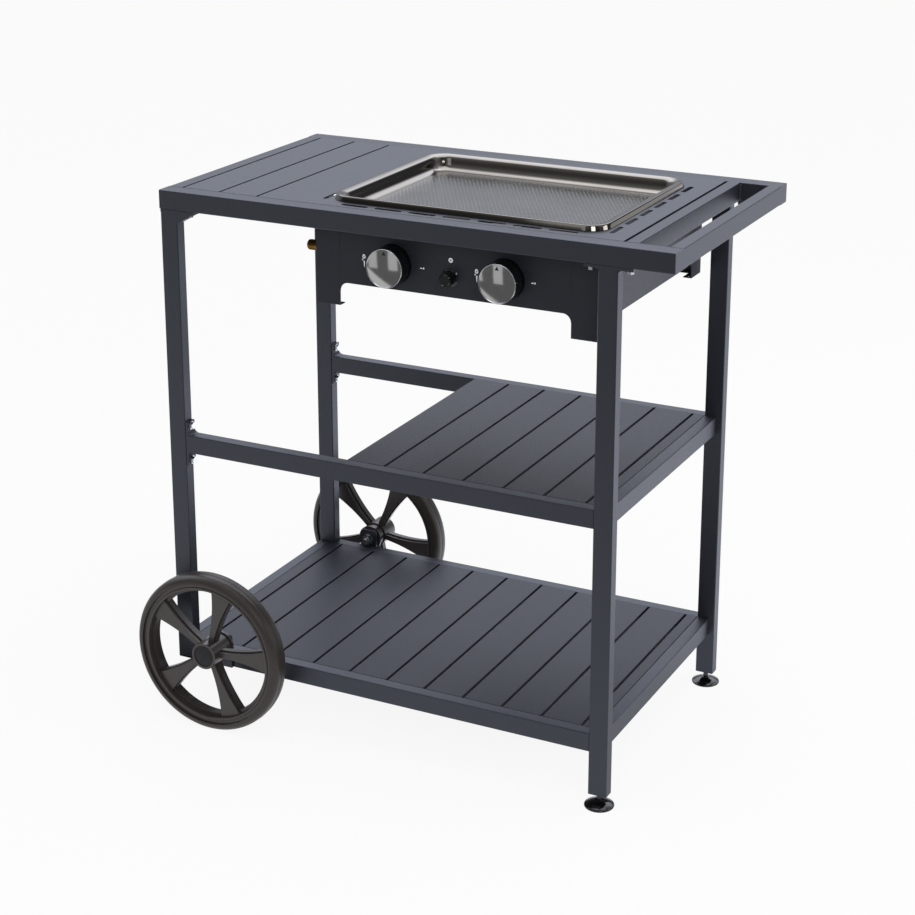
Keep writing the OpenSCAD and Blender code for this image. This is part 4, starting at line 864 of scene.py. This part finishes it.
# %% [markdown]
# The gas inlet is turned from brass on the same lathe: a hexagon to hold it by, a short neck, and
# a threaded end with a rounded tip for the hose. The thread is a saw-tooth that a Screw modifier
# winds along the end.

# %% Gas inlet
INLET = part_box("gas_inlet")
axis_y, axis_z = (INLET[0].y + INLET[1].y) / 2, (INLET[0].z + INLET[1].z) / 2
tip_x = INLET[0].x
hexagon_l, thread_l = 9, 16
body_l = (INLET[1].x - tip_x) / MM
nut_at = body_l - hexagon_l
core = turned((tip_x, axis_y, axis_z), (1, 0, 0), [
    (0, 3), (0, 6.2), (0.5, 7.2), (1.6, 7.6), (thread_l, 7.6), (thread_l + 0.6, 7.0), (body_l, 7.0),
    (body_l, 3), (0, 3)], 40)
nut = turned((tip_x, axis_y, axis_z), (1, 0, 0), [
    (nut_at, 6.5), (nut_at, 10), (nut_at + 1.2, 11.5), (body_l, 11.5), (body_l, 6.5), (nut_at, 6.5)], 6)
print("inlet is", round(body_l, 1), "mm long")

# %% Inlet thread
thread_pitch = 1.9
thread = begin(bpy.ops.mesh.primitive_plane_add, size=1)
bpy.ops.object.mode_set(mode="EDIT")
pick("VERT", lambda p: p.x < 0 or p.y < 0)
bpy.ops.mesh.delete(type="VERT")
bpy.ops.mesh.select_all(action="SELECT")
bpy.ops.transform.translate(value=(-0.5, -0.5, 0))
bpy.ops.transform.translate(value=(tip_x + 1.4 * MM, axis_y, axis_z + 7.45 * MM))
for a, r in ((0.55, 0.85), (0.45, 0), (0.55, -0.85)):
    bpy.ops.mesh.extrude_region_move(TRANSFORM_OT_translate={"value": (a * MM, 0, r * MM)})
bpy.ops.object.mode_set(mode="OBJECT")
bpy.context.scene.cursor.location = (0, 0, 0)
thread.location = (-tip_x, -axis_y, -axis_z)
bpy.ops.object.transform_apply(location=True)
wind = thread.modifiers.new("wind", "SCREW")
wind.axis, wind.steps, wind.render_steps = "X", 28, 28
wind.iterations = int((thread_l - 2) / thread_pitch)
wind.screw_offset = thread_pitch * MM
apply_all(thread)
thread.location = (tip_x, axis_y, axis_z)
bpy.ops.object.transform_apply(location=True)
bpy.ops.object.mode_set(mode="EDIT")
bpy.ops.mesh.select_all(action="SELECT")
bpy.ops.mesh.edge_face_add()
bpy.ops.mesh.normals_make_consistent(inside=False)
bpy.ops.object.mode_set(mode="OBJECT")
inlet = join([core, nut, thread])
bpy.ops.object.shade_smooth_by_angle(angle=math.radians(30))
finish_piece(inlet, "inlet_turned", "brass", "frame", brass)
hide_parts("gas_inlet")
